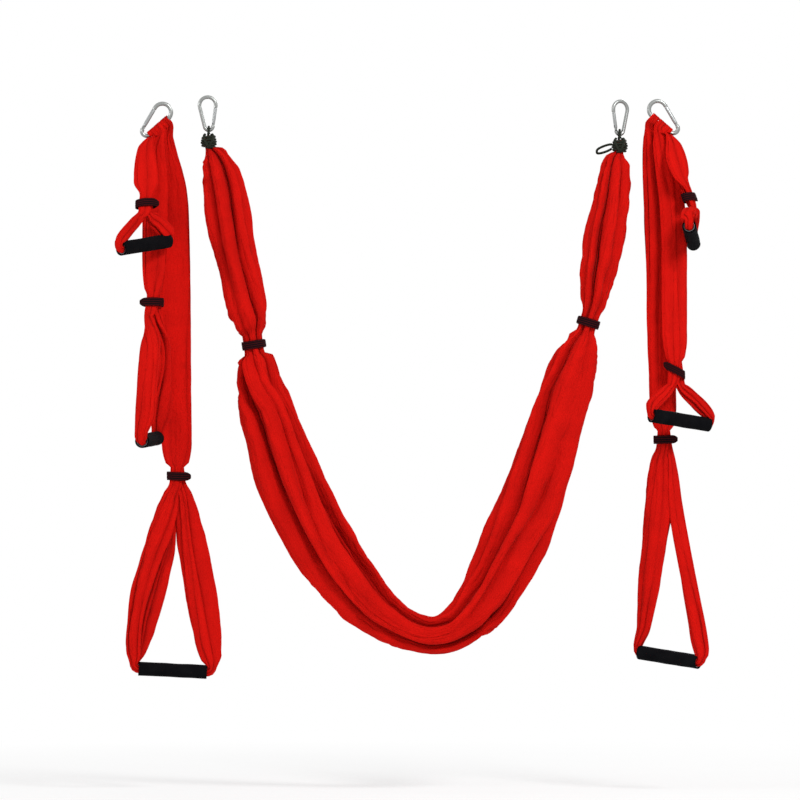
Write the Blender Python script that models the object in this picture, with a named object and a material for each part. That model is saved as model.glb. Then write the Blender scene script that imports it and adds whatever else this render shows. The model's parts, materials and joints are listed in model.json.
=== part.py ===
"""Aerial yoga swing, hanging at rest: a gathered hammock and two sets of three hand loops.

Four pear-shaped snap hooks hang from the ceiling. The outer two carry three hand loops each, of
gathered cloth with a cinch band and a foam grip. The inner two carry the hammock, which is tied to
them with cord and cinched by a band on each arm.

Metres. X runs right, Y runs away from the viewer and Z runs up. The origin lies midway between the
hammock's two hooks, at the height where the ceiling ring bears on the left one.
"""

import math
from collections import namedtuple

import bmesh
import bpy
from mathutils import Matrix, Vector

# Snap hooks. The wide end, the crown, is up.
Hook = namedtuple("Hook", "length width bar foot_radius")
SET_HOOK = Hook(length=0.080, width=0.041, bar=0.008, foot_radius=0.009)
HAMMOCK_HOOK = Hook(length=0.070, width=0.038, bar=0.007, foot_radius=0.008)
HOOK_SIDES = 10
GATE_HINGE = 0.007
TONGUE_THICKNESS = 0.0024
TONGUE_RUN = 0.0045
TONGUE_FLAT = 0.8
FORK_END = 0.0018
FORK_DEPTH = 0.004
FORK_CLEARANCE = 0.0004
PIN_RADIUS = 0.0010
PIN_CLEARANCE = 0.0003
PIN_SIDES = 10
GATE_SPRING_RADIUS = 0.0014
GATE_SPRING_LENGTH = 0.011
GATE_SPRING_SIDES = 8
GATE_SPRING_SEAT = 0.003
NOSE_RUN = 0.003
NOSE_GAP = 0.0005

# The gap between two pieces that touch on the real object
TOUCHING = 0.0003

# How far apart the hammock's two hooks hang, and how much further out each set's hook does
HAMMOCK_HOOKS_APART = 0.784
LEFT_SET_OUT = 0.086
RIGHT_SET_OUT = 0.071

# Where each hook hangs: its seat's place across and its height, its lean and turn in degrees, and
# its spine's side
Hanger = namedtuple("Hanger", "name hook seat height lean turn hand")
HAMMOCK_SEAT = HAMMOCK_HOOKS_APART / 2
LEFT_SET = Hanger("left_set", SET_HOOK, -HAMMOCK_SEAT - LEFT_SET_OUT, -0.013, 39.7, 0, 1)
RIGHT_SET = Hanger("right_set", SET_HOOK, HAMMOCK_SEAT + RIGHT_SET_OUT, -0.008, -39.7, 0, -1)
HAMMOCK_LEFT = Hanger("hammock_left", HAMMOCK_HOOK, -HAMMOCK_SEAT, 0, -3, 0, -1)
HAMMOCK_RIGHT = Hanger("hammock_right", HAMMOCK_HOOK, HAMMOCK_SEAT, -0.008, 2, 30, 1)

# The eyes of cloth that ride on a hook's spine
EYE_WIDTH = 0.0145
EYE_GAP = 0.002
EYE_START = 0.0065
EYE_CLOTH = 0.0032
EYE_CLEARANCE = 0.0007
EYE_SIDES = 8
EYE_PINCH = 0.0075
EYE_PINCH_WIDTH = 0.9
EYE_END = 0.0150
EYE_END_WIDTH = 0.62
EYE_END_APART = 0.0022
NECK_TOP = 0.0088
NECK_BEND = 0.0135
NECK_BEND_BACK = 0.45
NECK_DROP = 0.034
NECK_SHIFT = 0.004
NECK_HALF = Vector((0.0056, 0.006))

# Hand loops. Places are counted from the loop's eye: across, away from the viewer, and up.
Loop = namedtuple(
    "Loop",
    "name hanger order neck_back shoulder shoulder_half band band_turn band_tilt"
    " grip grip_turn grip_dip leg_halves leg_depths spread hang",
)
LOOPS = (
    Loop(
        name="left_short", hanger=LEFT_SET, order=0, neck_back=-0.0170,
        shoulder=Vector((-0.011, -0.034, -0.096)), shoulder_half=0.024,
        band=Vector((-0.011, -0.050, -0.137)), band_turn=12, band_tilt=8,
        grip=Vector((-0.012, -0.084, -0.215)), grip_turn=48, grip_dip=-7.5,
        leg_halves=(0.013, 0.013), leg_depths=(0.011, 0.011), spread=58, hang=(0.8, 0.55),
    ),
    Loop(
        name="left_medium", hanger=LEFT_SET, order=1, neck_back=0.0,
        shoulder=Vector((-0.006, -0.001, -0.130)), shoulder_half=0.0225,
        band=Vector((-0.010, -0.030, -0.334)), band_turn=0, band_tilt=0,
        grip=Vector((-0.016, -0.058, -0.594)), grip_turn=79, grip_dip=-2,
        leg_halves=(0.014, 0.012), leg_depths=(0.028, 0.024), spread=0, hang=(0.6, 0.8),
    ),
    Loop(
        name="left_long", hanger=LEFT_SET, order=2, neck_back=0.0170,
        shoulder=Vector((0.017, 0.0330, -0.160)), shoulder_half=0.0285,
        band=Vector((0.021, 0.0520, -0.675)), band_turn=0, band_tilt=-3,
        grip=Vector((0.012, 0.0450, -1.045)), grip_turn=4, grip_dip=3,
        leg_halves=(0.034, 0.031), leg_depths=(0.015, 0.015), spread=10, hang=(0.8, 0.7),
    ),
    Loop(
        name="right_short", hanger=RIGHT_SET, order=0, neck_back=-0.0170,
        shoulder=Vector((0.022, -0.030, -0.080)), shoulder_half=0.018,
        band=Vector((0.040, -0.030, -0.130)), band_turn=62, band_tilt=0,
        grip=Vector((0.044, -0.026, -0.200)), grip_turn=84, grip_dip=14,
        leg_halves=(0.010, 0.010), leg_depths=(0.012, 0.012), spread=72, hang=(0.8, 0.45),
    ),
    Loop(
        name="right_medium", hanger=RIGHT_SET, order=1, neck_back=0.0,
        shoulder=Vector((0.014, -0.002, -0.160)), shoulder_half=0.0215,
        band=Vector((0.027, -0.016, -0.468)), band_turn=0, band_tilt=-28,
        grip=Vector((0.035, -0.030, -0.562)), grip_turn=30, grip_dip=8,
        leg_halves=(0.013, 0.013), leg_depths=(0.011, 0.011), spread=55, hang=(0.8, 0.5),
    ),
    Loop(
        name="right_long", hanger=RIGHT_SET, order=2, neck_back=0.0170,
        shoulder=Vector((0.006, 0.0208, -0.140)), shoulder_half=0.0260,
        band=Vector((0.019, 0.0208, -0.610)), band_turn=0, band_tilt=0,
        grip=Vector((0.028, 0.0100, -1.024)), grip_turn=-32, grip_dip=7,
        leg_halves=(0.026, 0.020), leg_depths=(0.014, 0.014), spread=2, hang=(1.15, 0.35),
    ),
)
BUNDLE_DEPTH = 0.0088
BUNDLE_SIDES = 10
LEG_SIDES = 8
TWIST_RUN = 0.45
SHOULDER_TURN = 0.6
SWELL_BY = 0.4
SWELL_UNTIL = 0.55
CLOTH_GROOVE = 0.16
CINCHED_HALF = Vector((0.0170, 0.0084))
FORK_DROP = 0.014
FORK_HALF = Vector((0.7, 0.6))
LEG_APART = 0.46
LEG_START = Vector((0.44, 0.86))
LEG_STEPS = 8

# Cinch bands
BAND_HEIGHT = 0.016
BAND_THICKNESS = 0.0028
BAND_CLEARANCE = 0.0006
BAND_TRAVEL = 0.006
BAND_ZONE_SPARE = 0.002
BAND_TAB = 0.007
BAND_SIDES = 16

# Foam grips, each on a plastic core tube that the loop's cloth passes through
GRIP_LENGTH = 0.130
GRIP_RADIUS = 0.0135
FOAM_WALL = 0.0025
CORE_RADIUS = GRIP_RADIUS - FOAM_WALL
CORE_WALL = 0.0016
CORE_BORE = CORE_RADIUS - CORE_WALL
CORE_INSET = 0.002
FOAM_CHAMFER = 0.002
CORE_CHAMFER = 0.0005
CLOTH_OVERLAP = 0.006
CLOTH_SECOND_END = 0.014
GRIP_SIDES = 18
ROD_CLEARANCE = 0.0008
ROD_RADIUS = CORE_BORE - ROD_CLEARANCE
ELBOW_HALF = ROD_RADIUS + 0.0012
ELBOW_RADIUS = ELBOW_HALF + 0.0007
ELBOW_OUT = ELBOW_RADIUS + 0.0010
ELBOW_RISE = ELBOW_HALF - 0.0048

# The cord that ties each end of the hammock to its hook
CORD = 0.0046
CORD_GAP = 0.0008
CORD_PITCH = CORD + CORD_GAP
CORD_TURNS = 3.5
CORD_WOUND = CORD_PITCH * CORD_TURNS + CORD
CORD_NECK = 0.0100
CORD_LOOP_POINTS = 24
CORD_BELOW_HOOK = 0.0105
CORD_EYE_CLEARANCE = {"left": 0.0007, "right": 0.0028}
CORD_LEAVES = Vector((-0.0015, -0.0006, 0.0024))
CORD_ENDS_UP = 0.75
CORD_TO_CLOTH = 0.3
TIE_BOW_REACH = 0.032
TIE_BOW_START = 1.12
TIE_BOW_OPENING = 0.2
TIE_BOW_POINTS = 14
TIE_BOW_RISE = Vector((0.005, 0.0058))
TIE_BOW_DROOP = 0.28

# Hammock cloth. Its route is (share of the span, depth below the origin, full width), and its first
# and last rows lie just below the wound cord.
HAMMOCK_DRAWN_IN = 0.016
HAMMOCK_SPAN = HAMMOCK_HOOKS_APART - HAMMOCK_DRAWN_IN
HAMMOCK_ROUTE = (
    (0.003, 0.0715 + CORD_WOUND, 0.032),
    (0.015, 0.126, 0.062),
    (0.028, 0.164, 0.080),
    (0.043, 0.238, 0.086),
    (0.056, 0.290, 0.083),
    (0.072, 0.344, 0.081),
    (0.085, 0.392, 0.078),
    (0.096, 0.431, 0.056),
    (0.103, 0.467, 0.038),
    (0.113, 0.504, 0.070),
    (0.130, 0.572, 0.108),
    (0.186, 0.707, 0.127),
    (0.264, 0.832, 0.131),
    (0.352, 0.930, 0.112),
    (0.444, 0.990, 0.084),
    (0.535, 1.017, 0.070),
    (0.607, 1.005, 0.080),
    (0.678, 0.948, 0.108),
    (0.750, 0.838, 0.122),
    (0.819, 0.694, 0.118),
    (0.868, 0.578, 0.106),
    (0.900, 0.500, 0.085),
    (0.919, 0.457, 0.054),
    (0.932, 0.425, 0.036),
    (0.946, 0.386, 0.052),
    (0.956, 0.327, 0.068),
    (0.972, 0.259, 0.082),
    (0.985, 0.207, 0.077),
    (0.998, 0.139, 0.058),
    (1.003, 0.0825 + CORD_WOUND, 0.032),
)
HAMMOCK_BANDS = {"left": 8, "right": 23}
HAMMOCK_SIDES = 12
HAMMOCK_DEPTH = 0.80
HAMMOCK_GROOVE = 0.15

X, Y, Z = Vector((1, 0, 0)), Vector((0, 1, 0)), Vector((0, 0, 1))

Section = namedtuple("Section", "centre across through")


# Scene, finishes and objects


def clear_scene():
    for obj in list(bpy.data.objects):
        bpy.data.objects.remove(obj)


def finish(name, colour, roughness, metallic=0.0):
    material = bpy.data.materials.new(name)
    material.use_nodes = True
    shader = material.node_tree.nodes["Principled BSDF"]
    shader.inputs["Base Color"].default_value = (*colour, 1)
    shader.inputs["Roughness"].default_value = roughness
    shader.inputs["Metallic"].default_value = metallic
    material.diffuse_color = (*colour, 1)
    return material


def pivot(name, place, parent=None):
    """An empty on a joint's axis, which the pieces that turn there hang under."""
    empty = bpy.data.objects.new(name, None)
    empty.empty_display_size = 0.02
    empty.location = place - parent.matrix_world.translation if parent else place
    empty.parent = parent
    empty.matrix_world = Matrix.Translation(place)
    bpy.context.collection.objects.link(empty)
    return empty


def place_on(obj, parent):
    """Put an object made in world places under its pivot, with its own origin there."""
    origin = parent.matrix_world.translation
    obj.data.transform(Matrix.Translation(-origin))
    obj.parent = parent


def piece(name, shape, material, parent):
    shape.normal_update()
    bmesh.ops.recalc_face_normals(shape, faces=shape.faces)
    mesh = bpy.data.meshes.new(name)
    shape.to_mesh(mesh)
    shape.free()
    mesh.materials.append(material)
    mesh.shade_smooth()
    mesh.set_sharp_from_angle(angle=math.radians(50))
    obj = bpy.data.objects.new(name, mesh)
    bpy.context.collection.objects.link(obj)
    place_on(obj, parent)
    return obj


def helper(name, shape, material, parent):
    """A solid that only adds to or cuts another one."""
    obj = piece(name, shape, material, parent)
    obj.hide_render = True
    obj.display_type = "WIRE"
    return obj


def combine(target, other, operation):
    modifier = target.modifiers.new(f"{operation.lower()} {other.name}", "BOOLEAN")
    modifier.operation = operation
    modifier.object = other


# Shapes


def oval(section, sides, groove):
    """The points round an oval section, every second one drawn in to make lengthwise folds."""
    for side in range(sides):
        angle = 2 * math.pi * side / sides
        reach = 1 - groove * (side % 2)
        yield section.centre + reach * (
            math.cos(angle) * section.across + math.sin(angle) * section.through
        )


def lofted(sections, sides, grooves=None):
    """A closed tube that runs through oval sections, made by extruding its end face along them."""
    shape = bmesh.new()
    side_of = shape.verts.layers.int.new("side")
    ring = bmesh.ops.create_circle(shape, cap_ends=True, segments=sides, radius=1)["verts"]
    for side, vert in enumerate(ring):
        vert[side_of] = side
    face = ring[0].link_faces[0]
    for number, section in enumerate(sections):
        if number:
            inner = face
            made = bmesh.ops.extrude_face_region(shape, geom=[inner])["geom"]
            face = next(part for part in made if isinstance(part, bmesh.types.BMFace))
            if number > 1:
                bmesh.ops.delete(shape, geom=[inner], context="FACES_ONLY")
        points = list(oval(section, sides, grooves[number] if grooves else 0))
        for vert in face.verts:
            vert.co = points[vert[side_of]]
    return shape


def cylinder(start, end, radius, sides):
    """A round bar between two points."""
    axis = end - start
    shape = bmesh.new()
    bmesh.ops.create_cone(
        shape, cap_ends=True, segments=sides, radius1=radius, radius2=radius, depth=axis.length
    )
    turn = axis.to_track_quat("Z", "Y").to_matrix().to_4x4()
    shape.transform(Matrix.Translation((start + end) / 2) @ turn)
    return shape


def turned_sleeve(centre, axis, length, outer, bore, chamfer, sides):
    """A tube with chamfered outer rims, spun about its axis."""
    half = length / 2
    outline = (
        (-half, bore), (-half, outer - chamfer), (chamfer - half, outer),
        (half - chamfer, outer), (half, outer - chamfer), (half, bore),
    )
    shape = bmesh.new()
    corners = [shape.verts.new((radius, 0, along)) for along, radius in outline]
    edges = [shape.edges.new((a, b)) for a, b in zip(corners, corners[1:] + corners[:1])]
    bmesh.ops.spin(
        shape, geom=corners + edges, axis=Z, cent=(0, 0, 0), angle=2 * math.pi,
        steps=sides, use_merge=True, use_duplicate=False,
    )
    shape.transform(Matrix.Translation(centre) @ axis.to_track_quat("Z", "Y").to_matrix().to_4x4())
    return shape


def box(centre, half, axes):
    shape = bmesh.new()
    bmesh.ops.create_cube(shape, size=2)
    rows = [axis * reach for axis, reach in zip(axes, half)]
    turn = Matrix((rows[0], rows[1], rows[2])).transposed().to_4x4()
    shape.transform(Matrix.Translation(centre) @ turn)
    return shape


def smooth_rows(rows, steps):
    """Rows of numbers joined by a smooth curve through them, each stretch in its own step count."""
    found = []
    last = len(rows) - 1
    for number, count in enumerate(steps):
        before, a, b, after = (
            rows[max(0, min(last, number + shift))] for shift in (-1, 0, 1, 2)
        )
        for step in range(count):
            t = step / count
            found.append(tuple(
                0.5 * (2 * q + (r - p) * t + (2 * p - 5 * q + 4 * r - s) * t * t
                       + (3 * q - p - 3 * r + s) * t * t * t)
                for p, q, r, s in zip(before, a, b, after)
            ))
    found.append(tuple(rows[last]))
    return found


def eased(share):
    return share * share * (3 - 2 * share)


def turned_about_z(vector, degrees):
    return Matrix.Rotation(math.radians(degrees), 3, "Z") @ vector


def directions_along(points):
    """The direction of a route at each of its points."""
    last = len(points) - 1
    return [
        (points[min(i + 1, last)] - points[max(i - 1, 0)]).normalized() for i in range(last + 1)
    ]


# Snap hooks


class HookFrame:
    """Where a hook's arcs and sides lie in the world, worked out from its sizes and its lean."""

    def __init__(self, hanger):
        hook = hanger.hook
        self.bar = hook.bar
        self.crown_radius = (hook.width - hook.bar) / 2
        self.foot_radius = hook.foot_radius
        apart = hook.length - hook.width / 2 - hook.foot_radius - hook.bar / 2
        self.taper = math.asin((self.crown_radius - self.foot_radius) / apart)
        self.side_length = apart * math.cos(self.taper)
        self.hand = hanger.hand
        self.turn = (
            Matrix.Rotation(math.radians(hanger.turn), 3, "Z")
            @ Matrix.Rotation(math.radians(hanger.lean), 3, "Y")
        )
        seat = Vector((hanger.seat, 0, hanger.height))
        self.crown = seat - Z * (self.crown_radius - hook.bar / 2)
        self.foot = self.crown + self.turn @ Vector((0, 0, -apart))
        self.normal = self.turn @ Y

    def outward(self, angle):
        """The direction at an angle from the spine's side, counted towards the crown."""
        return self.turn @ Vector((self.hand * math.cos(angle), 0, math.sin(angle)))

    def spine_point(self, along):
        out = self.outward(-self.taper)
        return self.foot + out * self.foot_radius + self.spine_direction() * along

    def spine_direction(self):
        return self.outward(math.pi / 2 - self.taper)

    def gate_point(self, along):
        out = self.outward(math.pi + self.taper)
        return self.foot + out * self.foot_radius + self.gate_direction() * along

    def gate_direction(self):
        return self.outward(math.pi / 2 + self.taper)

    def bow_point(self):
        """The middle of the bar at the lowest place of the foot."""
        return self.foot - Z * self.foot_radius


def hook_frame_sections(frame):
    """Sections of the bent bar, from the tongue at the gate's hinge round the foot to the nose."""
    bar = frame.bar / 2
    thin = TONGUE_THICKNESS / 2
    hinge = GATE_HINGE
    route = [
        (frame.gate_point(hinge + FORK_END), thin, TONGUE_FLAT),
        (frame.gate_point(hinge - TONGUE_RUN), thin, TONGUE_FLAT),
        (frame.gate_point(hinge - TONGUE_RUN - TOUCHING), bar, 1.0),
    ]
    foot_steps, crown_steps = 6, 9
    for step in range(foot_steps + 1):
        angle = math.pi + frame.taper + (math.pi - 2 * frame.taper) * step / foot_steps
        place = frame.foot + frame.outward(angle) * frame.foot_radius
        route.append((place, bar, 1.0))
    for step in range(crown_steps + 1):
        angle = -frame.taper + (math.pi + 2 * frame.taper) * step / crown_steps
        place = frame.crown + frame.outward(angle) * frame.crown_radius
        route.append((place, bar, 1.0))
    route.append((frame.gate_point(frame.side_length - NOSE_RUN), bar, 1.0))
    headings = directions_along([place for place, _, _ in route])
    headings[0] = headings[1] = headings[2] = -frame.gate_direction()
    headings[-1] = headings[-2] = -frame.gate_direction()
    return [
        Section(place, heading.cross(frame.normal) * bar * flat, frame.normal * thick)
        for (place, thick, flat), heading in zip(route, headings)
    ]


def add_hook(hanger, finishes, mount):
    frame = HookFrame(hanger)
    name = hanger.name
    body = lofted(hook_frame_sections(frame), HOOK_SIDES)
    body = piece(f"{name}_hook_frame", body, finishes["steel"], mount)
    hinge = frame.gate_point(GATE_HINGE)
    reach = frame.normal * frame.bar
    hole = PIN_RADIUS + PIN_CLEARANCE
    drilled = cylinder(hinge - reach, hinge + reach, hole, PIN_SIDES)
    drilled = helper(f"{name}_pin_hole", drilled, finishes["steel"], mount)
    combine(body, drilled, "DIFFERENCE")

    swing = pivot(f"{name}_gate_pivot", hinge, mount)
    gate_radius = frame.bar / 2 - TOUCHING
    tip = frame.gate_point(frame.side_length - NOSE_RUN - NOSE_GAP)
    low = frame.gate_point(GATE_HINGE - FORK_END)
    gate = piece(
        f"{name}_gate", cylinder(low, tip, gate_radius, HOOK_SIDES), finishes["gate"], swing
    )
    along = frame.gate_direction()
    side = along.cross(frame.normal)
    slot_depth = FORK_END + FORK_DEPTH
    slot = box(
        low + along * slot_depth / 2, (frame.bar, slot_depth, TONGUE_THICKNESS / 2 + FORK_CLEARANCE),
        (side, along, frame.normal),
    )
    combine(gate, helper(f"{name}_gate_slot", slot, finishes["gate"], swing), "DIFFERENCE")
    combine(gate, drilled, "DIFFERENCE")
    spring_foot = low + along * (slot_depth + GATE_SPRING_SEAT)
    bore = cylinder(
        low, spring_foot + along * (GATE_SPRING_LENGTH + TOUCHING),
        GATE_SPRING_RADIUS + TOUCHING, GATE_SPRING_SIDES,
    )
    combine(gate, helper(f"{name}_gate_bore", bore, finishes["gate"], swing), "DIFFERENCE")
    spring = cylinder(
        spring_foot, spring_foot + along * GATE_SPRING_LENGTH, GATE_SPRING_RADIUS,
        GATE_SPRING_SIDES,
    )
    piece(f"{name}_gate_spring", spring, finishes["spring"], swing)
    pin_half = frame.normal * (frame.bar / 2)
    pin = cylinder(hinge - pin_half, hinge + pin_half, PIN_RADIUS, PIN_SIDES)
    piece(f"{name}_gate_pin", pin, finishes["spring"], mount)
    return frame


# Hand loops


def eye_place(frame, loop):
    """The middle of a loop's eye on the hook's spine, with the longest loop highest."""
    along = EYE_START + loop.order * (EYE_WIDTH + EYE_GAP)
    return frame.spine_point(along)


def eye_sections(frame, place):
    """The strip of cloth that goes up one side of the spine, over it and down the other."""
    up = frame.outward(math.pi - frame.taper)
    along = frame.spine_direction()
    radius = frame.bar / 2 + EYE_CLEARANCE + EYE_CLOTH / 2
    half = EYE_WIDTH / 2
    steps = 6
    inner = radius - EYE_CLOTH / 4
    legs = {
        side: (
            Section(
                place - up * EYE_END + Y * side * EYE_END_APART, along * half * EYE_END_WIDTH,
                Y * thin,
            ),
            Section(
                place - up * EYE_PINCH + Y * side * inner, along * half * EYE_PINCH_WIDTH, Y * thin
            ),
        )
        for side, thin in ((-1, -EYE_CLOTH / 2), (1, EYE_CLOTH / 2))
    }
    sections = list(legs[-1])
    for step in range(steps + 1):
        angle = math.pi * step / steps
        out = -Y * math.cos(angle) + up * math.sin(angle)
        sections.append(Section(place + out * radius, along * half, out * EYE_CLOTH / 2))
    sections += reversed(legs[1])
    return sections


def band_zone(half=0.0, tilt=0.0):
    """How far the cinched, even stretch of cloth runs above and below a band's middle."""
    return BAND_HEIGHT / 2 + BAND_TRAVEL + BAND_ZONE_SPARE + half * abs(math.tan(math.radians(tilt)))


def band_lean(loop, place):
    """The downward direction of the cloth where a band holds it."""
    shoulder = place + loop.shoulder
    return (place + loop.band - shoulder).normalized()


def bundle_sections(frame, loop, place):
    """The gathered cloth from just under the eye to the fork of the loop's two legs."""
    up = frame.outward(math.pi - frame.taper)
    down = band_lean(loop, place)
    band = place + loop.band
    reach = down * band_zone(CINCHED_HALF.x, loop.band_tilt)
    top, bottom = band - reach, band + reach
    fork = bottom + down * FORK_DROP
    rows = [
        (*(place - up * NECK_TOP), *NECK_HALF, 0),
        (*(place - up * NECK_BEND + Y * loop.neck_back * NECK_BEND_BACK), *NECK_HALF, 0),
        (*(place + Vector((NECK_SHIFT * frame.hand, loop.neck_back, -NECK_DROP))), *NECK_HALF, 0),
        (*(place + loop.shoulder), loop.shoulder_half, BUNDLE_DEPTH, loop.band_turn * SHOULDER_TURN),
        (*top, *CINCHED_HALF, loop.band_turn),
        (*bottom, *CINCHED_HALF, loop.band_turn),
        (*fork, *(CINCHED_HALF * FORK_HALF), loop.band_turn),
    ]
    rows = smooth_rows(rows, (1, 2, 3, 4, 1, 1))
    points = [Vector(row[:3]) for row in rows]
    headings = directions_along(points)
    headings[0] = headings[1] = -up
    for number in (-3, -2, -1):
        headings[number] = down
    sections, grooves = [], []
    for (_, _, _, half, depth, turn), point, heading in zip(rows, points, headings):
        through = turned_about_z(Y, turn)
        across = through.cross(heading).normalized()
        through = heading.cross(across)
        sections.append(Section(point, across * half, through * depth))
        grooves.append(CLOTH_GROOVE if half > CINCHED_HALF.x else 0)
    return sections, grooves


class GripAxis:
    """A grip's middle, its axis and the two directions square to it."""

    def __init__(self, loop, place):
        turn, dip = math.radians(loop.grip_turn), math.radians(loop.grip_dip)
        self.centre = place + loop.grip
        flat = Vector((math.cos(turn), math.sin(turn), 0))
        self.along = flat * math.cos(dip) - Z * math.sin(dip)
        self.through = turned_about_z(Y, loop.grip_turn)
        self.up = self.along.cross(self.through)


def leg_sections(loop, place, side, rod_end):
    """One leg of the loop, down from the fork, round into the grip and along its bore."""
    grip = GripAxis(loop, place)
    down = band_lean(loop, place)
    across = turned_about_z(X, loop.band_turn)
    spread = math.radians(loop.spread)
    start_half, start_depth = CINCHED_HALF * LEG_START
    below = band_zone(CINCHED_HALF.x, loop.band_tilt) + start_half * math.sin(spread)
    start = place + loop.band + down * below + across * side * CINCHED_HALF.x * LEG_APART
    end = (
        grip.centre
        + grip.along * side * (GRIP_LENGTH / 2 + ELBOW_OUT)
        + grip.up * (ELBOW_RADIUS + ELBOW_RISE)
    )
    length = (end - start).length
    leave = (down * math.cos(spread) + across * side * math.sin(spread)) * length * loop.hang[0]
    arrive = -grip.up * length * loop.hang[1]
    number = 0 if side < 0 else 1
    full_half, full_depth = loop.leg_halves[number], loop.leg_depths[number]
    sections, grooves = [], []
    for step in range(LEG_STEPS):
        t = step / LEG_STEPS
        place_now = (
            start * (2 * t**3 - 3 * t**2 + 1) + leave * (t**3 - 2 * t**2 + t)
            + end * (3 * t**2 - 2 * t**3) + arrive * (t**3 - t**2)
        )
        heading = (
            start * (6 * t**2 - 6 * t) + leave * (3 * t**2 - 4 * t + 1)
            + end * (6 * t - 6 * t**2) + arrive * (3 * t**2 - 2 * t)
        ).normalized()
        twist = eased(min(1, t / TWIST_RUN))
        through = turned_about_z(Y, loop.band_turn + (loop.grip_turn - loop.band_turn) * twist)
        broad = through.cross(heading).normalized()
        through = heading.cross(broad)
        swell = eased(min(1, t / SWELL_BY)) * (1 - eased(max(0, (t - SWELL_UNTIL) / (1 - SWELL_UNTIL))))
        settle = eased(t)
        half = start_half + (ELBOW_HALF - start_half) * settle + (full_half - start_half) * swell
        depth = start_depth + (ELBOW_HALF - start_depth) * settle
        depth += (full_depth - start_depth) * swell
        sections.append(Section(place_now, broad * half, through * depth))
        grooves.append(CLOTH_GROOVE * swell)
    sections.append(Section(end, -grip.along * ELBOW_HALF, grip.through * ELBOW_HALF))
    grooves.append(0)
    elbow = end - grip.along * side * ELBOW_RADIUS - grip.up * ELBOW_RISE
    arc_steps = 3
    for step in range(arc_steps + 1):
        angle = math.pi / 2 * step / arc_steps
        out = grip.along * side * math.cos(angle) - grip.up * math.sin(angle)
        half = ELBOW_HALF + (ROD_RADIUS - ELBOW_HALF) * step / arc_steps
        sections.append(Section(elbow + out * ELBOW_RADIUS, out * -side * half, grip.through * half))
        grooves.append(0)
    radius = ROD_RADIUS if rod_end < 0 else ROD_RADIUS - TOUCHING
    for reach in (GRIP_LENGTH / 2, rod_end):
        middle = grip.centre + grip.along * side * reach
        sections.append(Section(middle, grip.up * side * radius, grip.through * radius))
        grooves.append(0)
    return sections, grooves


def add_band(name, centre, down, through, half, tilt, tab_side, material, parent):
    """An oval ring of webbing round the cloth, with the end of the webbing standing out as a tab."""
    across = through.cross(down).normalized()
    through = down.cross(across)
    widen = 1 / math.cos(math.pi / BAND_SIDES)
    shape = bmesh.new()
    rings = []
    for reach in (BAND_CLEARANCE, BAND_CLEARANCE + BAND_THICKNESS):
        ring = bmesh.ops.create_circle(shape, segments=BAND_SIDES, radius=1)["verts"]
        section = Section(
            centre - down * BAND_HEIGHT / 2,
            across * (half.x * widen + reach), through * (half.y * widen + reach),
        )
        for vert, point in zip(ring, oval(section, BAND_SIDES, 0)):
            vert.co = point + down * across.dot(point - centre) * math.tan(math.radians(tilt))
        rings.append(ring)
    tab = rings[1][0 if tab_side > 0 else BAND_SIDES // 2]
    tab.co += across * tab_side * BAND_TAB
    bmesh.ops.bridge_loops(shape, edges=list(shape.edges))
    raised = bmesh.ops.extrude_face_region(shape, geom=list(shape.faces))["geom"]
    bmesh.ops.translate(
        shape, vec=down * BAND_HEIGHT,
        verts=[part for part in raised if isinstance(part, bmesh.types.BMVert)],
    )
    return piece(name, shape, material, parent)


def add_loop(frame, loop, finishes, parent):
    """One hand loop: its cloth, cinch band, foam grip and the core tube inside the grip."""
    place = eye_place(frame, loop)
    swing = pivot(f"{loop.name}_pivot", place, parent)
    sections, grooves = bundle_sections(frame, loop, place)
    cloth = piece(
        f"{loop.name}_loop_cloth", lofted(sections, BUNDLE_SIDES, grooves), finishes["cloth"], swing
    )
    eye = lofted(eye_sections(frame, place), EYE_SIDES)
    combine(cloth, helper(f"{loop.name}_eye", eye, finishes["cloth"], swing), "UNION")
    half = GRIP_LENGTH / 2
    for side, rod_end in ((-1, CLOTH_OVERLAP - half), (1, half - CLOTH_SECOND_END)):
        sections, grooves = leg_sections(loop, place, side, rod_end)
        leg = lofted(sections, LEG_SIDES, grooves)
        label = "left" if side < 0 else "right"
        combine(cloth, helper(f"{loop.name}_{label}_leg", leg, finishes["cloth"], swing), "UNION")
    through = turned_about_z(Y, loop.band_turn)
    add_band(
        f"{loop.name}_cinch_band", place + loop.band, band_lean(loop, place), through,
        CINCHED_HALF, loop.band_tilt, 1 if loop.order == 2 else -1, finishes["band"], swing,
    )
    grip = GripAxis(loop, place)
    spin = pivot(f"{loop.name}_grip_pivot", grip.centre, swing)
    foam = turned_sleeve(
        grip.centre, grip.along, GRIP_LENGTH, GRIP_RADIUS, CORE_RADIUS + TOUCHING, FOAM_CHAMFER,
        GRIP_SIDES,
    )
    piece(f"{loop.name}_foam_grip", foam, finishes["foam"], spin)
    core = turned_sleeve(
        grip.centre, grip.along, GRIP_LENGTH - 2 * CORE_INSET, CORE_RADIUS, CORE_BORE, CORE_CHAMFER,
        GRIP_SIDES,
    )
    piece(f"{loop.name}_core_tube", core, finishes["plastic"], spin)
    return swing


def add_set(hanger, finishes, mount):
    """A hook and its three loops: the short and the long one lean on the medium one between them."""
    frame = add_hook(hanger, finishes, mount)
    short, medium, long = (loop for loop in LOOPS if loop.hanger is hanger)
    middle = add_loop(frame, medium, finishes, mount)
    for loop in (short, long):
        add_loop(frame, loop, finishes, middle)


# Hammock


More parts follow.
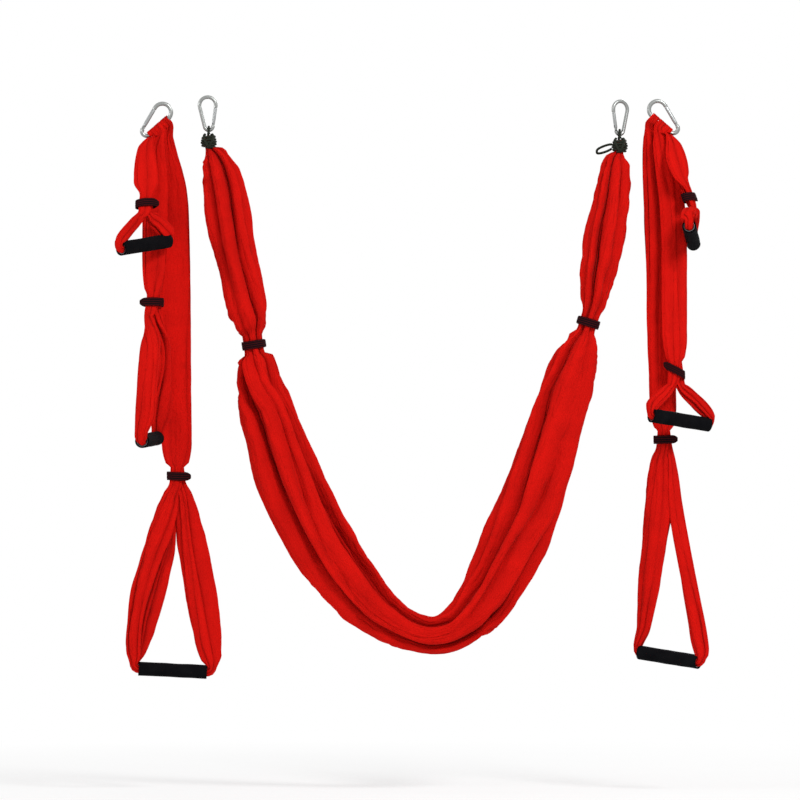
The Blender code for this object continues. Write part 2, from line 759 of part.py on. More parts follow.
def hammock_rows():
    """The hammock's route as places and half widths, with an even stretch at each band."""
    rows = [
        Vector(((share - 0.5) * HAMMOCK_SPAN, -depth, width / 2))
        for share, depth, width in HAMMOCK_ROUTE
    ]
    found, steps = [], []
    for number, row in enumerate(rows):
        if number not in HAMMOCK_BANDS.values():
            found.append(row)
            steps.append(2 if 11 <= number <= 19 else 1)
            continue
        along = (rows[number + 1] - rows[number - 1]) * Vector((1, 1, 0))
        along.normalize()
        found += [row - along * band_zone(), row + along * band_zone()]
        steps += [1, 1]
    return found, steps[:-1]


def hammock_sections():
    rows, steps = hammock_rows()
    rows = [Vector(row) for row in smooth_rows(rows, steps)]
    points = [Vector((row.x, 0, row.y)) for row in rows]
    narrow = max(HAMMOCK_ROUTE[number][2] for number in HAMMOCK_BANDS.values()) / 2
    sections, grooves = [], []
    last = len(rows) - 1
    for number, (row, point, heading) in enumerate(zip(rows, points, directions_along(points))):
        cinched = [
            near for near in (number - 1, number + 1)
            if 0 <= near <= last and row.z == rows[near].z
        ]
        if cinched:
            toward = points[cinched[0]] - point
            heading = (toward if cinched[0] > number else -toward).normalized()
        across = Y.cross(heading).normalized()
        depth = row.z if row.z <= narrow else narrow + (row.z - narrow) * HAMMOCK_DEPTH
        sections.append(Section(point, across * row.z, Y * depth))
        grooves.append(0 if row.z <= narrow else HAMMOCK_GROOVE)
    return sections, grooves


def hammock_band_place(side):
    number = HAMMOCK_BANDS[side]
    share, depth, width = HAMMOCK_ROUTE[number]
    (before, above, _), (after, below, _) = HAMMOCK_ROUTE[number - 1], HAMMOCK_ROUTE[number + 1]
    along = Vector(((after - before) * HAMMOCK_SPAN, 0, above - below)).normalized()
    return Vector(((share - 0.5) * HAMMOCK_SPAN, 0, -depth)), along, width / 2


def tie_points(bow, clearance, bar):
    """The tying cord from its first turn round the neck, up over the hook's foot and down again."""
    turn_radius = CORD_NECK + TOUCHING + CORD / 2
    top = bow.z - bar / 2 - CORD_BELOW_HOOK
    points = []
    count = int(CORD_TURNS * CORD_LOOP_POINTS)
    for number in range(count + 1):
        angle = math.pi / 2 - 2 * math.pi * (count - number) / CORD_LOOP_POINTS
        fall = CORD_PITCH * (count - number) / CORD_LOOP_POINTS
        points.append(Vector((
            bow.x + turn_radius * math.cos(angle), turn_radius * math.sin(angle), top - fall
        )))
    eye_radius = bar / 2 + clearance + CORD / 2
    points.append(Vector((bow.x, turn_radius, top)) + CORD_LEAVES)
    steps = 10
    for number in range(steps + 1):
        angle = math.pi * number / steps
        points.append(Vector((
            bow.x, eye_radius * math.cos(angle), bow.z + eye_radius * math.sin(angle)
        )))
    points.append(Vector((bow.x, -(turn_radius + eye_radius) / 2, (bow.z + top) / 2)))
    points.append(Vector((bow.x, -turn_radius, top + CORD * CORD_ENDS_UP)))
    return points


def least_gap(points, thickness):
    """The narrowest space between stretches of one tube that aren't neighbours along it."""
    near = 4
    return min(
        (a - b).length
        for i, a in enumerate(points)
        for b in points[i + near:]
        if (a - b).length > 0
    ) - thickness


def add_cord(name, points, material, parent):
    origin = parent.matrix_world.translation
    curve = bpy.data.curves.new(name, "CURVE")
    curve.dimensions = "3D"
    curve.bevel_depth = CORD / 2
    curve.bevel_resolution = 1
    curve.use_fill_caps = True
    line = curve.splines.new("POLY")
    line.points.add(len(points) - 1)
    for spot, point in zip(line.points, points):
        spot.co = (*(point - origin), 1)
        spot.radius = 1
    curve.materials.append(material)
    obj = bpy.data.objects.new(name, curve)
    bpy.context.collection.objects.link(obj)
    obj.parent = parent
    return obj


def bow_points(bow, bar):
    """The slack bow of cord that stands out to the left of the right-hand tie."""
    start = bow.x - CORD_NECK - CORD * TIE_BOW_START - 2 * TOUCHING
    level = bow.z - bar / 2 - CORD_BELOW_HOOK - CORD_PITCH
    first = math.pi * TIE_BOW_OPENING
    points = []
    for number in range(TIE_BOW_POINTS + 1):
        angle = first + (2 * math.pi - 2 * first) * number / TIE_BOW_POINTS
        reach = (math.cos(first) - math.cos(angle)) / 2 * TIE_BOW_REACH
        across, rise = TIE_BOW_RISE * math.sin(angle)
        points.append(Vector((start - reach, -across, level - reach * TIE_BOW_DROOP + rise)))
    return points


def add_hammock(finishes, mount):
    left = add_hook(HAMMOCK_LEFT, finishes, mount)
    right = add_hook(HAMMOCK_RIGHT, finishes, mount)
    swing = pivot("hammock_pivot", (left.bow_point() + right.bow_point()) / 2, mount)
    sections, grooves = hammock_sections()
    necks = []
    for frame, end in ((left, sections[0]), (right, sections[-1])):
        bow = frame.bow_point()
        top = bow.z - frame.bar / 2 - CORD_BELOW_HOOK
        low = top - CORD_WOUND
        middle = Vector((bow.x, 0, 0))
        high = Section(middle + Z * (top + CORD * CORD_TO_CLOTH), -X * CORD_NECK, Y * CORD_NECK)
        necks.append((high, Section(middle + Z * low, -X * CORD_NECK, Y * CORD_NECK)))
    flip = [Section(part.centre, -part.across, part.through) for part in necks[1]]
    sections = [*necks[0], *sections, *reversed(flip)]
    grooves = [0, 0, *grooves, 0, 0]
    cloth = lofted(sections, HAMMOCK_SIDES, grooves)
    piece("hammock_cloth", cloth, finishes["cloth"], swing)
    for side, tab_side in (("left", 1), ("right", 1)):
        centre, along, half = hammock_band_place(side)
        add_band(
            f"hammock_{side}_cinch_band", centre, along, Y, Vector((half, half)), 0, tab_side,
            finishes["band"], swing,
        )
    for side, frame in (("left", left), ("right", right)):
        points = tie_points(frame.bow_point(), CORD_EYE_CLEARANCE[side], frame.bar)
        add_cord(f"hammock_{side}_tie_cord", points, finishes["cord"], swing)
        print(f"{side} tie cord: least gap to itself {least_gap(points, CORD) * 1000:.2f} mm")
    points = bow_points(right.bow_point(), right.bar)
    add_cord("hammock_right_tie_bow", points, finishes["cord"], swing)
    print(f"right tie bow: least gap to itself {least_gap(points, CORD) * 1000:.2f} mm")


def main():
    clear_scene()
    finishes = {
        "cloth": finish("red gathered cloth", (0.62, 0.012, 0.008), 0.55),
        "foam": finish("black foam", (0.012, 0.012, 0.013), 0.85),
        "plastic": finish("grey plastic", (0.10, 0.10, 0.11), 0.5),
        "band": finish("black webbing", (0.012, 0.010, 0.016), 0.7),
        "cord": finish("dark green cord", (0.012, 0.016, 0.010), 0.8),
        "steel": finish("zinc plated steel", (0.72, 0.73, 0.72), 0.3, 1.0),
        "gate": finish("zinc plated gate", (0.66, 0.67, 0.66), 0.35, 1.0),
        "spring": finish("bright steel", (0.55, 0.55, 0.55), 0.25, 1.0),
    }
    mount = pivot("ceiling_line", Vector((0, 0, 0)))
    add_set(LEFT_SET, finishes, mount)
    add_set(RIGHT_SET, finishes, mount)
    add_hammock(finishes, mount)


main()
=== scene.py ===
# %% [markdown]
# # A yoga swing of gathered cloth
# A yoga swing is two things in one: a wide hammock, gathered at both ends and tied to two snap
# hooks, and two sets of three hand loops, each with a foam grip. The frame that is loaded here is
# the working model, with every piece where it hangs. This lesson gives each piece its real shape
# and finish: pleated sheets of cloth, woven bands, wound cord, soft foam and bent steel.
# Everything is in metres. X runs right, Y runs away from the viewer and Z runs up.

import json
import math
from collections import namedtuple

import bmesh
import bpy
import numpy as np
from mathutils import Matrix, Vector


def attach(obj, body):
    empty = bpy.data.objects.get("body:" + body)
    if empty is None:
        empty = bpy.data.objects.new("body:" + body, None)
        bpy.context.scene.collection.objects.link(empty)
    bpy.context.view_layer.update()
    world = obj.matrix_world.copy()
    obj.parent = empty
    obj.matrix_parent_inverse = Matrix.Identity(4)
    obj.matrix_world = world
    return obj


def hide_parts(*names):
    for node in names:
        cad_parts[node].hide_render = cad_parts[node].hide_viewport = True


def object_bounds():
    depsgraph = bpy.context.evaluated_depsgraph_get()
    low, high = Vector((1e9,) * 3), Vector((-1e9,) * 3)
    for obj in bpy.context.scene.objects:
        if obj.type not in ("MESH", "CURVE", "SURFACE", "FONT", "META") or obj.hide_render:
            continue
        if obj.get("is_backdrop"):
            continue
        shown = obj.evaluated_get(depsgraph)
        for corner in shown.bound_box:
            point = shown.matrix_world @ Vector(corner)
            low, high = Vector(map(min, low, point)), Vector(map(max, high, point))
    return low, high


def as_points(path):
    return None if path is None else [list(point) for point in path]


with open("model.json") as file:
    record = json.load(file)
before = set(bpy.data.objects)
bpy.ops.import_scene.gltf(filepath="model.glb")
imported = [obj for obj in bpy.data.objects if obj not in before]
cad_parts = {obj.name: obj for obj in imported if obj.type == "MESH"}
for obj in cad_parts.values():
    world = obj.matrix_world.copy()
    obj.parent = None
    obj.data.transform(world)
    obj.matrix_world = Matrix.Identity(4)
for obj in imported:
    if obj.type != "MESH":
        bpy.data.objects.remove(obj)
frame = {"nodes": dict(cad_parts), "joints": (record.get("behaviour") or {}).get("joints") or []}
cad_box = [list(corner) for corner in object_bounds()]
X, Y, Z = Vector((1, 0, 0)), Vector((0, 1, 0)), Vector((0, 0, 1))
JOINTS = {joint["name"]: joint for joint in frame["joints"]}

# %% [markdown]
# ## The camera
# The photograph is taken square on with hardly any perspective, so upright things stay upright and
# near things look no larger than far ones. A long lens from well back does the same here. The lens
# follows from two real sizes: how far off the camera stands, and how much of the world fits across
# the picture at the hooks.

# %% Camera
VIEW_SIDE = 1.52
VIEW_CENTRE = Vector((-0.0266, 0, -0.572))
VIEW_DISTANCE = 14.0

camera_data = bpy.data.cameras.new("camera")
camera_data.lens = camera_data.sensor_width * VIEW_DISTANCE / VIEW_SIDE
camera = bpy.data.objects.new("camera", camera_data)
camera.location = VIEW_CENTRE - Y * VIEW_DISTANCE
camera.rotation_euler = (math.pi / 2, 0, 0)
bpy.context.collection.objects.link(camera)
bpy.context.scene.camera = camera
print(f"camera: {camera_data.lens:.1f} mm lens, {VIEW_DISTANCE} m away")

# %% [markdown]
# ## Helpers for finishes
# Every finish below is a small graph of nodes round one Principled shader. A graph reads well when
# each line names a node and what feeds it, so one helper adds a node, sets its values and joins
# its inputs. A finish's steady numbers are set on the shader itself, and only what varies over the
# surface reaches it through nodes.

# %% Helpers for finishes
def new_finish(name, colour, roughness, metallic=0.0, specular=0.5):
    material = bpy.data.materials.new(name)
    material.use_nodes = True
    shader = material.node_tree.nodes["Principled BSDF"]
    shader.inputs["Base Color"].default_value = (*colour, 1)
    shader.inputs["Roughness"].default_value = roughness
    shader.inputs["Metallic"].default_value = metallic
    shader.inputs["Specular IOR Level"].default_value = specular
    return material, shader


def add_node(material, kind, values=None, **inputs):
    """A node with its settings, and its inputs set to numbers or joined to other nodes' outputs.

    An input that shares its name with others is given by its number, as _0 or _1.
    """
    node = material.node_tree.nodes.new(kind)
    for key, value in (values or {}).items():
        setattr(node, key, value)
    for key, value in inputs.items():
        key = int(key[1:]) if key[0] == "_" and key[1:].isdigit() else key.replace("_", " ")
        if isinstance(value, bpy.types.NodeSocket):
            material.node_tree.links.new(value, node.inputs[key])
        else:
            node.inputs[key].default_value = value
    return node


def join(material, socket, node, key):
    material.node_tree.links.new(socket, node.inputs[key])


def calculate(material, operation, *numbers):
    """A sum on two or three numbers, each of them steady or another node's output."""
    inputs = {f"_{place}": number for place, number in enumerate(numbers)}
    return add_node(material, "ShaderNodeMath", {"operation": operation}, **inputs).outputs[0]


def paint(material, shader, factor, stops):
    """Colour a surface by a ramp between two (place, colour) stops."""
    node = add_node(material, "ShaderNodeValToRGB", Fac=factor)
    for element, (place, colour) in zip(node.color_ramp.elements, stops):
        element.position = place
        element.color = (*colour, 1)
    join(material, node.outputs["Color"], shader, "Base Color")


def raise_surface(material, shader, layers):
    """Bumps laid over each other: (height, how strong, how deep in metres)."""
    normal = None
    for height, strength, distance in layers:
        bump = add_node(
            material, "ShaderNodeBump", Height=height, Strength=strength, Distance=distance
        )
        if normal:
            join(material, normal, bump, "Normal")
        normal = bump.outputs["Normal"]
    join(material, normal, shader, "Normal")

# %% [markdown]
# ## Patterns
# Four patterns do for every surface here: soft clouds, rounded cells, threads side by side, and any
# of these stretched or turned. They are worked out in space on hard pieces, and on the map that
# cloth, webbing and cord carry with them, so that a weave follows its folds.

# %% Patterns
WAVE_PERIOD = 2 * math.pi / 20


def mottle(material, vector, scale, detail=3.0, distortion=0.0):
    """Soft cloudy variation at a scale in patches for each metre."""
    return add_node(
        material, "ShaderNodeTexNoise", Vector=vector, Scale=scale, Detail=detail,
        Distortion=distortion,
    ).outputs["Fac"]


def cells(material, vector, scale, feature="F1"):
    """Rounded cells, like pores, at a scale in cells for each metre."""
    return add_node(
        material, "ShaderNodeTexVoronoi", {"feature": feature}, Vector=vector, Scale=scale
    ).outputs["Distance"]


def threads(material, vector, direction, pitch, distortion=0.0):
    """Threads side by side at a pitch in metres. At a scale of 1 they repeat each WAVE_PERIOD."""
    return add_node(
        material, "ShaderNodeTexWave", {"bands_direction": direction}, Vector=vector,
        Scale=WAVE_PERIOD / pitch, Distortion=distortion,
    ).outputs["Fac"]


def mapped(material, vector, scale=(1, 1, 1), turn=0.0):
    """The same places scaled up, which makes a pattern finer, and turned in their plane."""
    return add_node(
        material, "ShaderNodeMapping", Vector=vector, Scale=scale, Rotation=(0, 0, turn)
    ).outputs["Vector"]


def object_place(material):
    return add_node(material, "ShaderNodeTexCoord").outputs["Object"]


def map_place(material):
    return add_node(material, "ShaderNodeTexCoord").outputs["UV"]

# %% [markdown]
# ## Red cloth
# The cloth is a light nylon, dyed one strong red. Three things make it read as nylon: a faint sheen
# where it turns away, a crumpled and streaked surface that catches the light in small patches, and
# a plain weave that only shows up close. The map of the sheet runs in metres across and along it,
# so the weave keeps its true size and the streaks follow every fold. Inside the folds the colour is
# painted deeper. This painted shade stands in for the light that bounces from red to red there. The
# rolled hems are the same cloth with less relief, because they are too narrow to crumple.

# %% Red cloth
CLOTH_RED = (0.66, 0.0085, 0.0055)
# CLOTH_DEEP is the deeper red of darker patches, and of the painted shade inside the folds.
CLOTH_DEEP = (0.26, 0.004, 0.0035)
CLOTH_SHEEN = (1.0, 0.25, 0.20, 1)
THREAD_PITCH = 0.0007
BROAD_STREAKS = (75.0, 8.0, 1.0)
FINE_STREAKS = (210.0, 34.0, 1.0)


def make_cloth(name, relief=1.0):
    material, shader = new_finish(name, CLOTH_RED, 0.5, specular=0.0)
    shader.inputs["Sheen Weight"].default_value = 0.06 * relief
    shader.inputs["Sheen Roughness"].default_value = 0.4
    shader.inputs["Sheen Tint"].default_value = CLOTH_SHEEN
    flat, place = map_place(material), object_place(material)
    hollow = add_node(material, "ShaderNodeAttribute", {"attribute_name": "hollow"}).outputs["Fac"]
    broad = mottle(material, mapped(material, flat, BROAD_STREAKS), scale=1.0, distortion=0.4)
    fine = mottle(material, mapped(material, flat, FINE_STREAKS), scale=1.0, distortion=0.4)
    patches = mottle(material, flat, scale=14.0, detail=4.0, distortion=0.6)
    shade = calculate(material, "MULTIPLY_ADD", patches, 0.5, -0.25)
    shade = calculate(material, "MULTIPLY_ADD", broad, 0.3, shade)
    # Painted shade: where the sheet is hollow, inside its folds, the colour goes towards CLOTH_DEEP.
    shade = calculate(material, "ADD", shade, hollow)
    paint(material, shader, shade, [(0.0, CLOTH_RED), (0.9, CLOTH_DEEP)])
    warp = threads(material, flat, "X", THREAD_PITCH)
    weft = threads(material, flat, "Y", THREAD_PITCH)
    weave = calculate(material, "MAXIMUM", warp, weft)
    crumple = mottle(material, place, scale=38.0, detail=5.0, distortion=0.5)
    crease = cells(material, place, scale=60.0, feature="SMOOTH_F1")
    raise_surface(material, shader, (
        (crumple, 0.45 * relief, 0.006), (crease, 0.2 * relief, 0.002),
        (broad, 0.8 * relief, 0.010), (fine, 0.7 * relief, 0.003), (weave, 0.25, 0.0001),
    ))
    return material


red_cloth = make_cloth("red cloth")
red_hem = make_cloth("red hem", relief=0.1)
print("red cloth and red hem, with", len(red_cloth.node_tree.nodes), "nodes each")

# %% [markdown]
# ## Webbing, foam, plastic and cord
# The cinch bands are black woven webbing with a few threads of plum red in the weave. The grips
# are closed-cell foam: dead matt, with a skin of tiny pores. The tube inside each grip is plain
# moulded plastic, and the ties are a dark green cord with a braided cover, whose strands cross in
# two helices. The webbing and the cord have maps of their own, so their weave runs with them.

# %% Webbing, foam, plastic and cord
WEBBING_DARK = (0.007, 0.003, 0.004)
WEBBING_PLUM = (0.052, 0.004, 0.006)
TWILL_PITCH = 0.0016
RIB_PITCH = 0.0040
FOAM_DARK = (0.003, 0.003, 0.004)
FOAM_WORN = (0.006, 0.006, 0.007)
CORD_DARK = (0.004, 0.005, 0.003)
CORD_GREEN = (0.018, 0.023, 0.014)
BRAID_PITCH = 0.0019
BRAID_SLANT = math.radians(45)


def make_webbing(name):
    material, shader = new_finish(name, (0.008, 0.004, 0.005), 0.8, specular=0.04)
    flat = map_place(material)
    twill = threads(material, flat, "DIAGONAL", TWILL_PITCH, distortion=0.4)
    ribs = threads(material, flat, "Y", RIB_PITCH)
    paint(material, shader, ribs, [(0.62, WEBBING_DARK), (0.95, WEBBING_PLUM)])
    raise_surface(material, shader, ((ribs, 0.3, 0.0004), (twill, 0.6, 0.0003)))
    return material


def make_foam(name):
    material, shader = new_finish(name, (0.004, 0.004, 0.005), 0.9, specular=0.035)
    place = object_place(material)
    pores = cells(material, place, scale=900.0)
    wear = mottle(material, place, scale=45.0, detail=4.0)
    paint(material, shader, wear, [(0.3, FOAM_DARK), (0.75, FOAM_WORN)])
    raise_surface(material, shader, ((wear, 0.2, 0.002), (pores, 0.5, 0.0004)))
    return material


def make_plastic(name):
    material, shader = new_finish(name, (0.10, 0.10, 0.11), 0.45)
    grain = mottle(material, object_place(material), scale=700.0)
    raise_surface(material, shader, ((grain, 0.15, 0.0002),))
    return material


def make_cord(name):
    material, shader = new_finish(name, (0.009, 0.012, 0.008), 0.75, specular=0.2)
    flat = map_place(material)
    strands = [
        threads(material, mapped(material, flat, turn=slant), "X", BRAID_PITCH)
        for slant in (BRAID_SLANT, -BRAID_SLANT)
    ]
    braid = calculate(material, "MAXIMUM", *strands)
    paint(material, shader, braid, [(0.3, CORD_DARK), (0.95, CORD_GREEN)])
    raise_surface(material, shader, ((braid, 0.9, 0.0006),))
    return material


black_webbing = make_webbing("black webbing")
black_foam = make_foam("black foam")
grey_plastic = make_plastic("grey plastic")
green_cord = make_cord("dark green cord")
print(f"webbing with ribs each {RIB_PITCH * 1000:.0f} mm, foam, plastic and braided cord")

# %% [markdown]
# ## Steel
# Snap hooks are bent from round bar and zinc plated, so they are pale and a little cloudy, with
# fine marks where rings have rubbed. The gate is the same steel with a slightly duller plating.
# Its spring and pin are bare and smoother.

# %% Steel
STEEL_CLOUDS = 220.0
RUB_MARKS = (900.0, 900.0, 60.0)
DULL_CLOUD, BRIGHT_CLOUD = 0.3, 0.7
DULLER, ROUGHER = 0.8, 0.14


def make_steel(name, colour, roughness):
    material, shader = new_finish(name, colour, roughness, metallic=1.0)
    place = object_place(material)
    cloud = mottle(material, place, STEEL_CLOUDS, detail=5.0, distortion=0.3)
    marks = mottle(material, mapped(material, place, RUB_MARKS), scale=1.0, detail=2.0)
    dull = tuple(DULLER * part for part in colour)
    paint(material, shader, cloud, [(DULL_CLOUD, dull), (BRIGHT_CLOUD, colour)])
    gloss = add_node(
        material, "ShaderNodeMapRange", Value=cloud, From_Min=DULL_CLOUD, From_Max=BRIGHT_CLOUD,
        To_Min=roughness + ROUGHER, To_Max=roughness,
    ).outputs["Result"]
    join(material, gloss, shader, "Roughness")
    raise_surface(material, shader, ((marks, 0.1, 0.0002),))
    return material


hook_steel = make_steel("zinc plated steel", (0.35, 0.36, 0.35), 0.3)
gate_steel = make_steel("zinc plated gate", (0.36, 0.37, 0.37), 0.35)
spring_steel = make_steel("bright steel", (0.36, 0.36, 0.36), 0.25)
print("steel:", ", ".join(steel.name for steel in (hook_steel, gate_steel, spring_steel)))

# %% [markdown]
# ## Helpers for shapes
# Two kinds of shape come up again and again here. A solid that changes as it goes along, such as
# a bent bar, is a round face extruded through one section after another. A soft surface, such as
# pleated cloth or a cord's cover, is a grid of faces whose corners are then moved to their places,
# because a fold is easier to say as a rule than to pull by hand. Each finished piece rides on a
# body of the frame and stands for one or more of its nodes.

# %% Helpers for shapes
Section = namedtuple("Section", "centre across through")


def show(name, shape, material, body, replaced=()):
    """A finished piece: shaded smooth, riding on its body, and standing for its nodes."""
    mesh = bpy.data.meshes.new(name)
    shape.to_mesh(mesh)
    shape.free()
    mesh.materials.append(material)
    mesh.shade_smooth()
    obj = bpy.data.objects.new(name, mesh)
    bpy.context.collection.objects.link(obj)
    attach(obj, body)
    if replaced:
        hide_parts(*replaced)
    return obj


def lofted(sections, sides):
    """A closed bar through oval sections, made by extruding its end face along them."""
    shape = bmesh.new()
    side_of = shape.verts.layers.int.new("side")
    ring = bmesh.ops.create_circle(shape, cap_ends=True, segments=sides, radius=1)["verts"]
    for side, vert in enumerate(ring):
        vert[side_of] = side
    face = ring[0].link_faces[0]
    for number, section in enumerate(sections):
        if number:
            inner = face
            made = bmesh.ops.extrude_face_region(shape, geom=[inner])["geom"]
            face = next(part for part in made if isinstance(part, bmesh.types.BMFace))
            if number > 1:
                bmesh.ops.delete(shape, geom=[inner], context="FACES_ONLY")
        for vert in face.verts:
            angle = 2 * math.pi * vert[side_of] / sides
            vert.co = (
                section.centre + section.across * math.cos(angle) + section.through * math.sin(angle)
            )
    shape.normal_update()
    bmesh.ops.recalc_face_normals(shape, faces=shape.faces)
    return shape


def surface(places, flat, closed=False):
    """A grid of faces with its corners at places[row][column], mapped by flat[row][column]."""
    rows, columns = places.shape[:2]
    shape = bmesh.new()
    bmesh.ops.create_grid(shape, x_segments=columns - 1, y_segments=rows - 1, size=1)
    shape.verts.index_update()
    for vert, place in zip(shape.verts, places.reshape(-1, 3)):
        vert.co = place
    layer = shape.loops.layers.uv.new("UVMap")
    flat = flat.reshape(-1, 2)
    for face in shape.faces:
        for corner in face.loops:
            corner[layer].uv = flat[corner.vert.index]
    if closed:
        bmesh.ops.remove_doubles(shape, verts=shape.verts, dist=1e-6)
    shape.normal_update()
    return shape


def add_shape(whole, part):
    """Add one shape's faces to another's, and let the added one go."""
    mesh = bpy.data.meshes.new("part")
    part.to_mesh(mesh)
    part.free()
    whole.from_mesh(mesh)
    bpy.data.meshes.remove(mesh)

# %% [markdown]
# ## Smooth lines
# Soft things hang in smooth curves. A line is given here by a few listed rows, each a place and
# any sizes that go with it. They are joined by a curve that passes through every row, in which
# the sizes never overshoot, and the curve is cut into even steps so that the faces come out even.

# %% Smooth lines
def lengths_along(line):
    """How far along a line of points each one lies."""
    steps = np.linalg.norm(np.diff(line, axis=0), axis=1)
    return np.concatenate(([0.0], np.cumsum(steps)))


def headings_of(line):
    """The direction of a line at each of its points."""
    heading = np.gradient(line, axis=0)
    return heading / np.linalg.norm(heading, axis=1, keepdims=True)


def slopes_of(rows, apart):
    """How fast each column changes at each row, never so fast that a size overshoots."""
    rates = np.diff(rows, axis=0) / np.diff(apart)[:, None]
    slopes = np.vstack((rates[:1], rates[1:], rates[-1:]))
    before, after = rates[:-1], rates[1:]
    gentle = 2 * before * after / np.where(before * after > 0, before + after, 1)
    slopes[1:-1] = np.where(before * after > 0, gentle, 0)
    slopes[1:-1, :3] = (rows[2:, :3] - rows[:-2, :3]) / (apart[2:] - apart[:-2])[:, None]
    return slopes


def curve_between(start, leave, end, arrive, t):
    """A smooth curve at t from 0 to 1, from its two ends and how it leaves and arrives there."""
    return (
        start * (2 * t**3 - 3 * t**2 + 1) + leave * (t**3 - 2 * t**2 + t)
        + end * (3 * t**2 - 2 * t**3) + arrive * (t**3 - t**2)
    )


def resampled(rows, spacing, fine=12):
    """Rows of numbers, places first, joined by a smooth curve and cut into even steps."""
    rows = np.array(rows, float)
    apart = lengths_along(rows[:, :3])
    slopes = slopes_of(rows, apart)
    t = np.linspace(0, 1, fine, endpoint=False)[:, None]
    pieces = [
        curve_between(
            rows[number], slopes[number] * run, rows[number + 1], slopes[number + 1] * run, t
        )
        for number, run in enumerate(np.diff(apart))
    ]
    curve = np.vstack((*pieces, rows[-1:]))
    along = lengths_along(curve[:, :3])
    even = np.linspace(0, along[-1], max(2, round(along[-1] / spacing)) + 1)
    return np.column_stack([np.interp(even, along, column) for column in curve.T]), even

# %% [markdown]
# ## Tubes
# A cord or a rolled hem is a round tube along a line. A curve with a bevel would make one too, but
# its map wouldn't be in metres, and the braid has to keep its size. So rings of points are carried
# along the line without twisting, starting from a side that no line here runs along.

# %% Tubes
UNLIKE_ANY_LINE = (0.31, 0.52, 0.79)


def tube(line, radius, sides):
    """A round tube along a line of points. Its map runs round it and along it in metres."""
    line = np.array(line, float)
    heading = headings_of(line)
    side = np.cross(heading[0], UNLIKE_ANY_LINE)
    angles = np.linspace(0, 2 * math.pi, sides + 1)
    rings = []
    for place, ahead in zip(line, heading):
        side = side - ahead * np.dot(side, ahead)
        side = side / np.linalg.norm(side)
        other = np.cross(ahead, side)
        rings.append(place + radius * (
            np.cos(angles)[:, None] * side + np.sin(angles)[:, None] * other
        ))
    along = np.broadcast_to(lengths_along(line)[:, None], (len(line), sides + 1))
    around = np.broadcast_to(angles * radius, (len(line), sides + 1))
    shape = surface(np.array(rings), np.dstack((around, along)), closed=True)
    ends = [edge for edge in shape.edges if edge.is_boundary]
    bmesh.ops.holes_fill(shape, edges=ends)
    bmesh.ops.recalc_face_normals(shape, faces=shape.faces)
    return shape

# %% [markdown]
# ## Where the hooks hang
# Each hook is a pear of round bar: a wide crown on top, a narrow foot below, and two straight
# sides that taper between them. One side is the spine, the other is closed by the gate. The sizes
# are those of common 80 mm and 70 mm snap hooks. The outer two lean over, because the three loops
# share one straight side and pull it level.

# %% Where the hooks hang
Hook = namedtuple("Hook", "length width bar foot_radius")
SET_HOOK = Hook(length=0.080, width=0.041, bar=0.008, foot_radius=0.009)
HAMMOCK_HOOK = Hook(length=0.070, width=0.038, bar=0.007, foot_radius=0.008)
GATE_HINGE = 0.007
NOSE_RUN = 0.003


class HookPlan:
    """The arcs and sides of one hook, worked out from its sizes, its seat, its lean and its turn."""

    def __init__(self, hook, across, height, lean, turn, hand):
        self.hook, self.hand, self.bar = hook, hand, hook.bar
        self.crown_radius = (hook.width - hook.bar) / 2
        apart = hook.length - hook.width / 2 - hook.foot_radius - hook.bar / 2
        self.taper = math.asin((self.crown_radius - hook.foot_radius) / apart)
        self.side = apart * math.cos(self.taper)
        self.turned = (
            Matrix.Rotation(math.radians(turn), 3, "Z") @ Matrix.Rotation(math.radians(lean), 3, "Y")
        )
        self.crown = Vector((across, 0, height - self.crown_radius + hook.bar / 2))
        self.foot = self.crown + self.turned @ Vector((0, 0, -apart))
        self.normal = self.turned @ Y

    def outward(self, angle):
        return self.turned @ Vector((self.hand * math.cos(angle), 0, math.sin(angle)))

    def gate_point(self, along):
        start = self.foot + self.outward(math.pi + self.taper) * self.hook.foot_radius
        return start + self.gate_direction() * along

    def gate_direction(self):
        return self.outward(math.pi / 2 + self.taper)

    def spine_direction(self):
        return self.outward(math.pi / 2 - self.taper)

    def away_from_cloth(self):
        """Square to the spine, on the side where a loop of cloth bears."""
        return self.outward(math.pi - self.taper)

    def foot_point(self):
        """The middle of the bar at the very bottom of the hook."""
        return self.foot - Z * self.hook.foot_radius


HOOKS = {
    "left_set": HookPlan(SET_HOOK, -0.478, -0.013, 39.7, 0, 1),
    "right_set": HookPlan(SET_HOOK, 0.463, -0.008, -39.7, 0, -1),
    "hammock_left": HookPlan(HAMMOCK_HOOK, -0.392, 0, -3, 0, -1),
    "hammock_right": HookPlan(HAMMOCK_HOOK, 0.392, -0.008, 2, 30, 1),
}
for name, plan in HOOKS.items():
    apart = (plan.gate_point(GATE_HINGE) - Vector(JOINTS[f"{name}_gate_opens"]["pos_m"])).length
    print(f"{name}: its hinge is {apart * 1000:.2f} mm from the frame's joint")

# %% [markdown]
# ## Cord ties
# Each end of the hammock is tied to its hook with a dark green cord. It winds tightly round the
# gathered cloth, climbs over the hook's foot and comes down in front, and further strands cross
# the turns from top to bottom, which makes a round, lumpy knot. The turns follow from the cord's
# thickness and the neck that they hold, with a little unevenness, as hands wind it. Only the
# slack bow on the right hangs free, and it is made further down.

# %% Cord ties
CORD = 0.0046
CORD_PITCH = 0.0048
CORD_TURNS = 4.6
CORD_NECK = 0.0100
CORD_BELOW_HOOK = 0.0075
TOUCHING = 0.0003
EYE_CLEARANCE = {"left": 0.0007, "right": 0.0028}
TURN_POINTS = 36
TURN_SNUG = 0.78
KNOT_BULGE = 0.0024
UNEVEN_OUT = 0.0004
UNEVEN_UP = 0.0003
OUT_WAVES, UP_WAVES, TIES_DIFFER = 1.7, 2.3, 9
LEAVES_TURNS = Vector((-0.0015, -0.0006, 0.0024))
TUCKS_IN = Vector((0.0010, -0.0022, CORD))
OVER_STEPS = 12


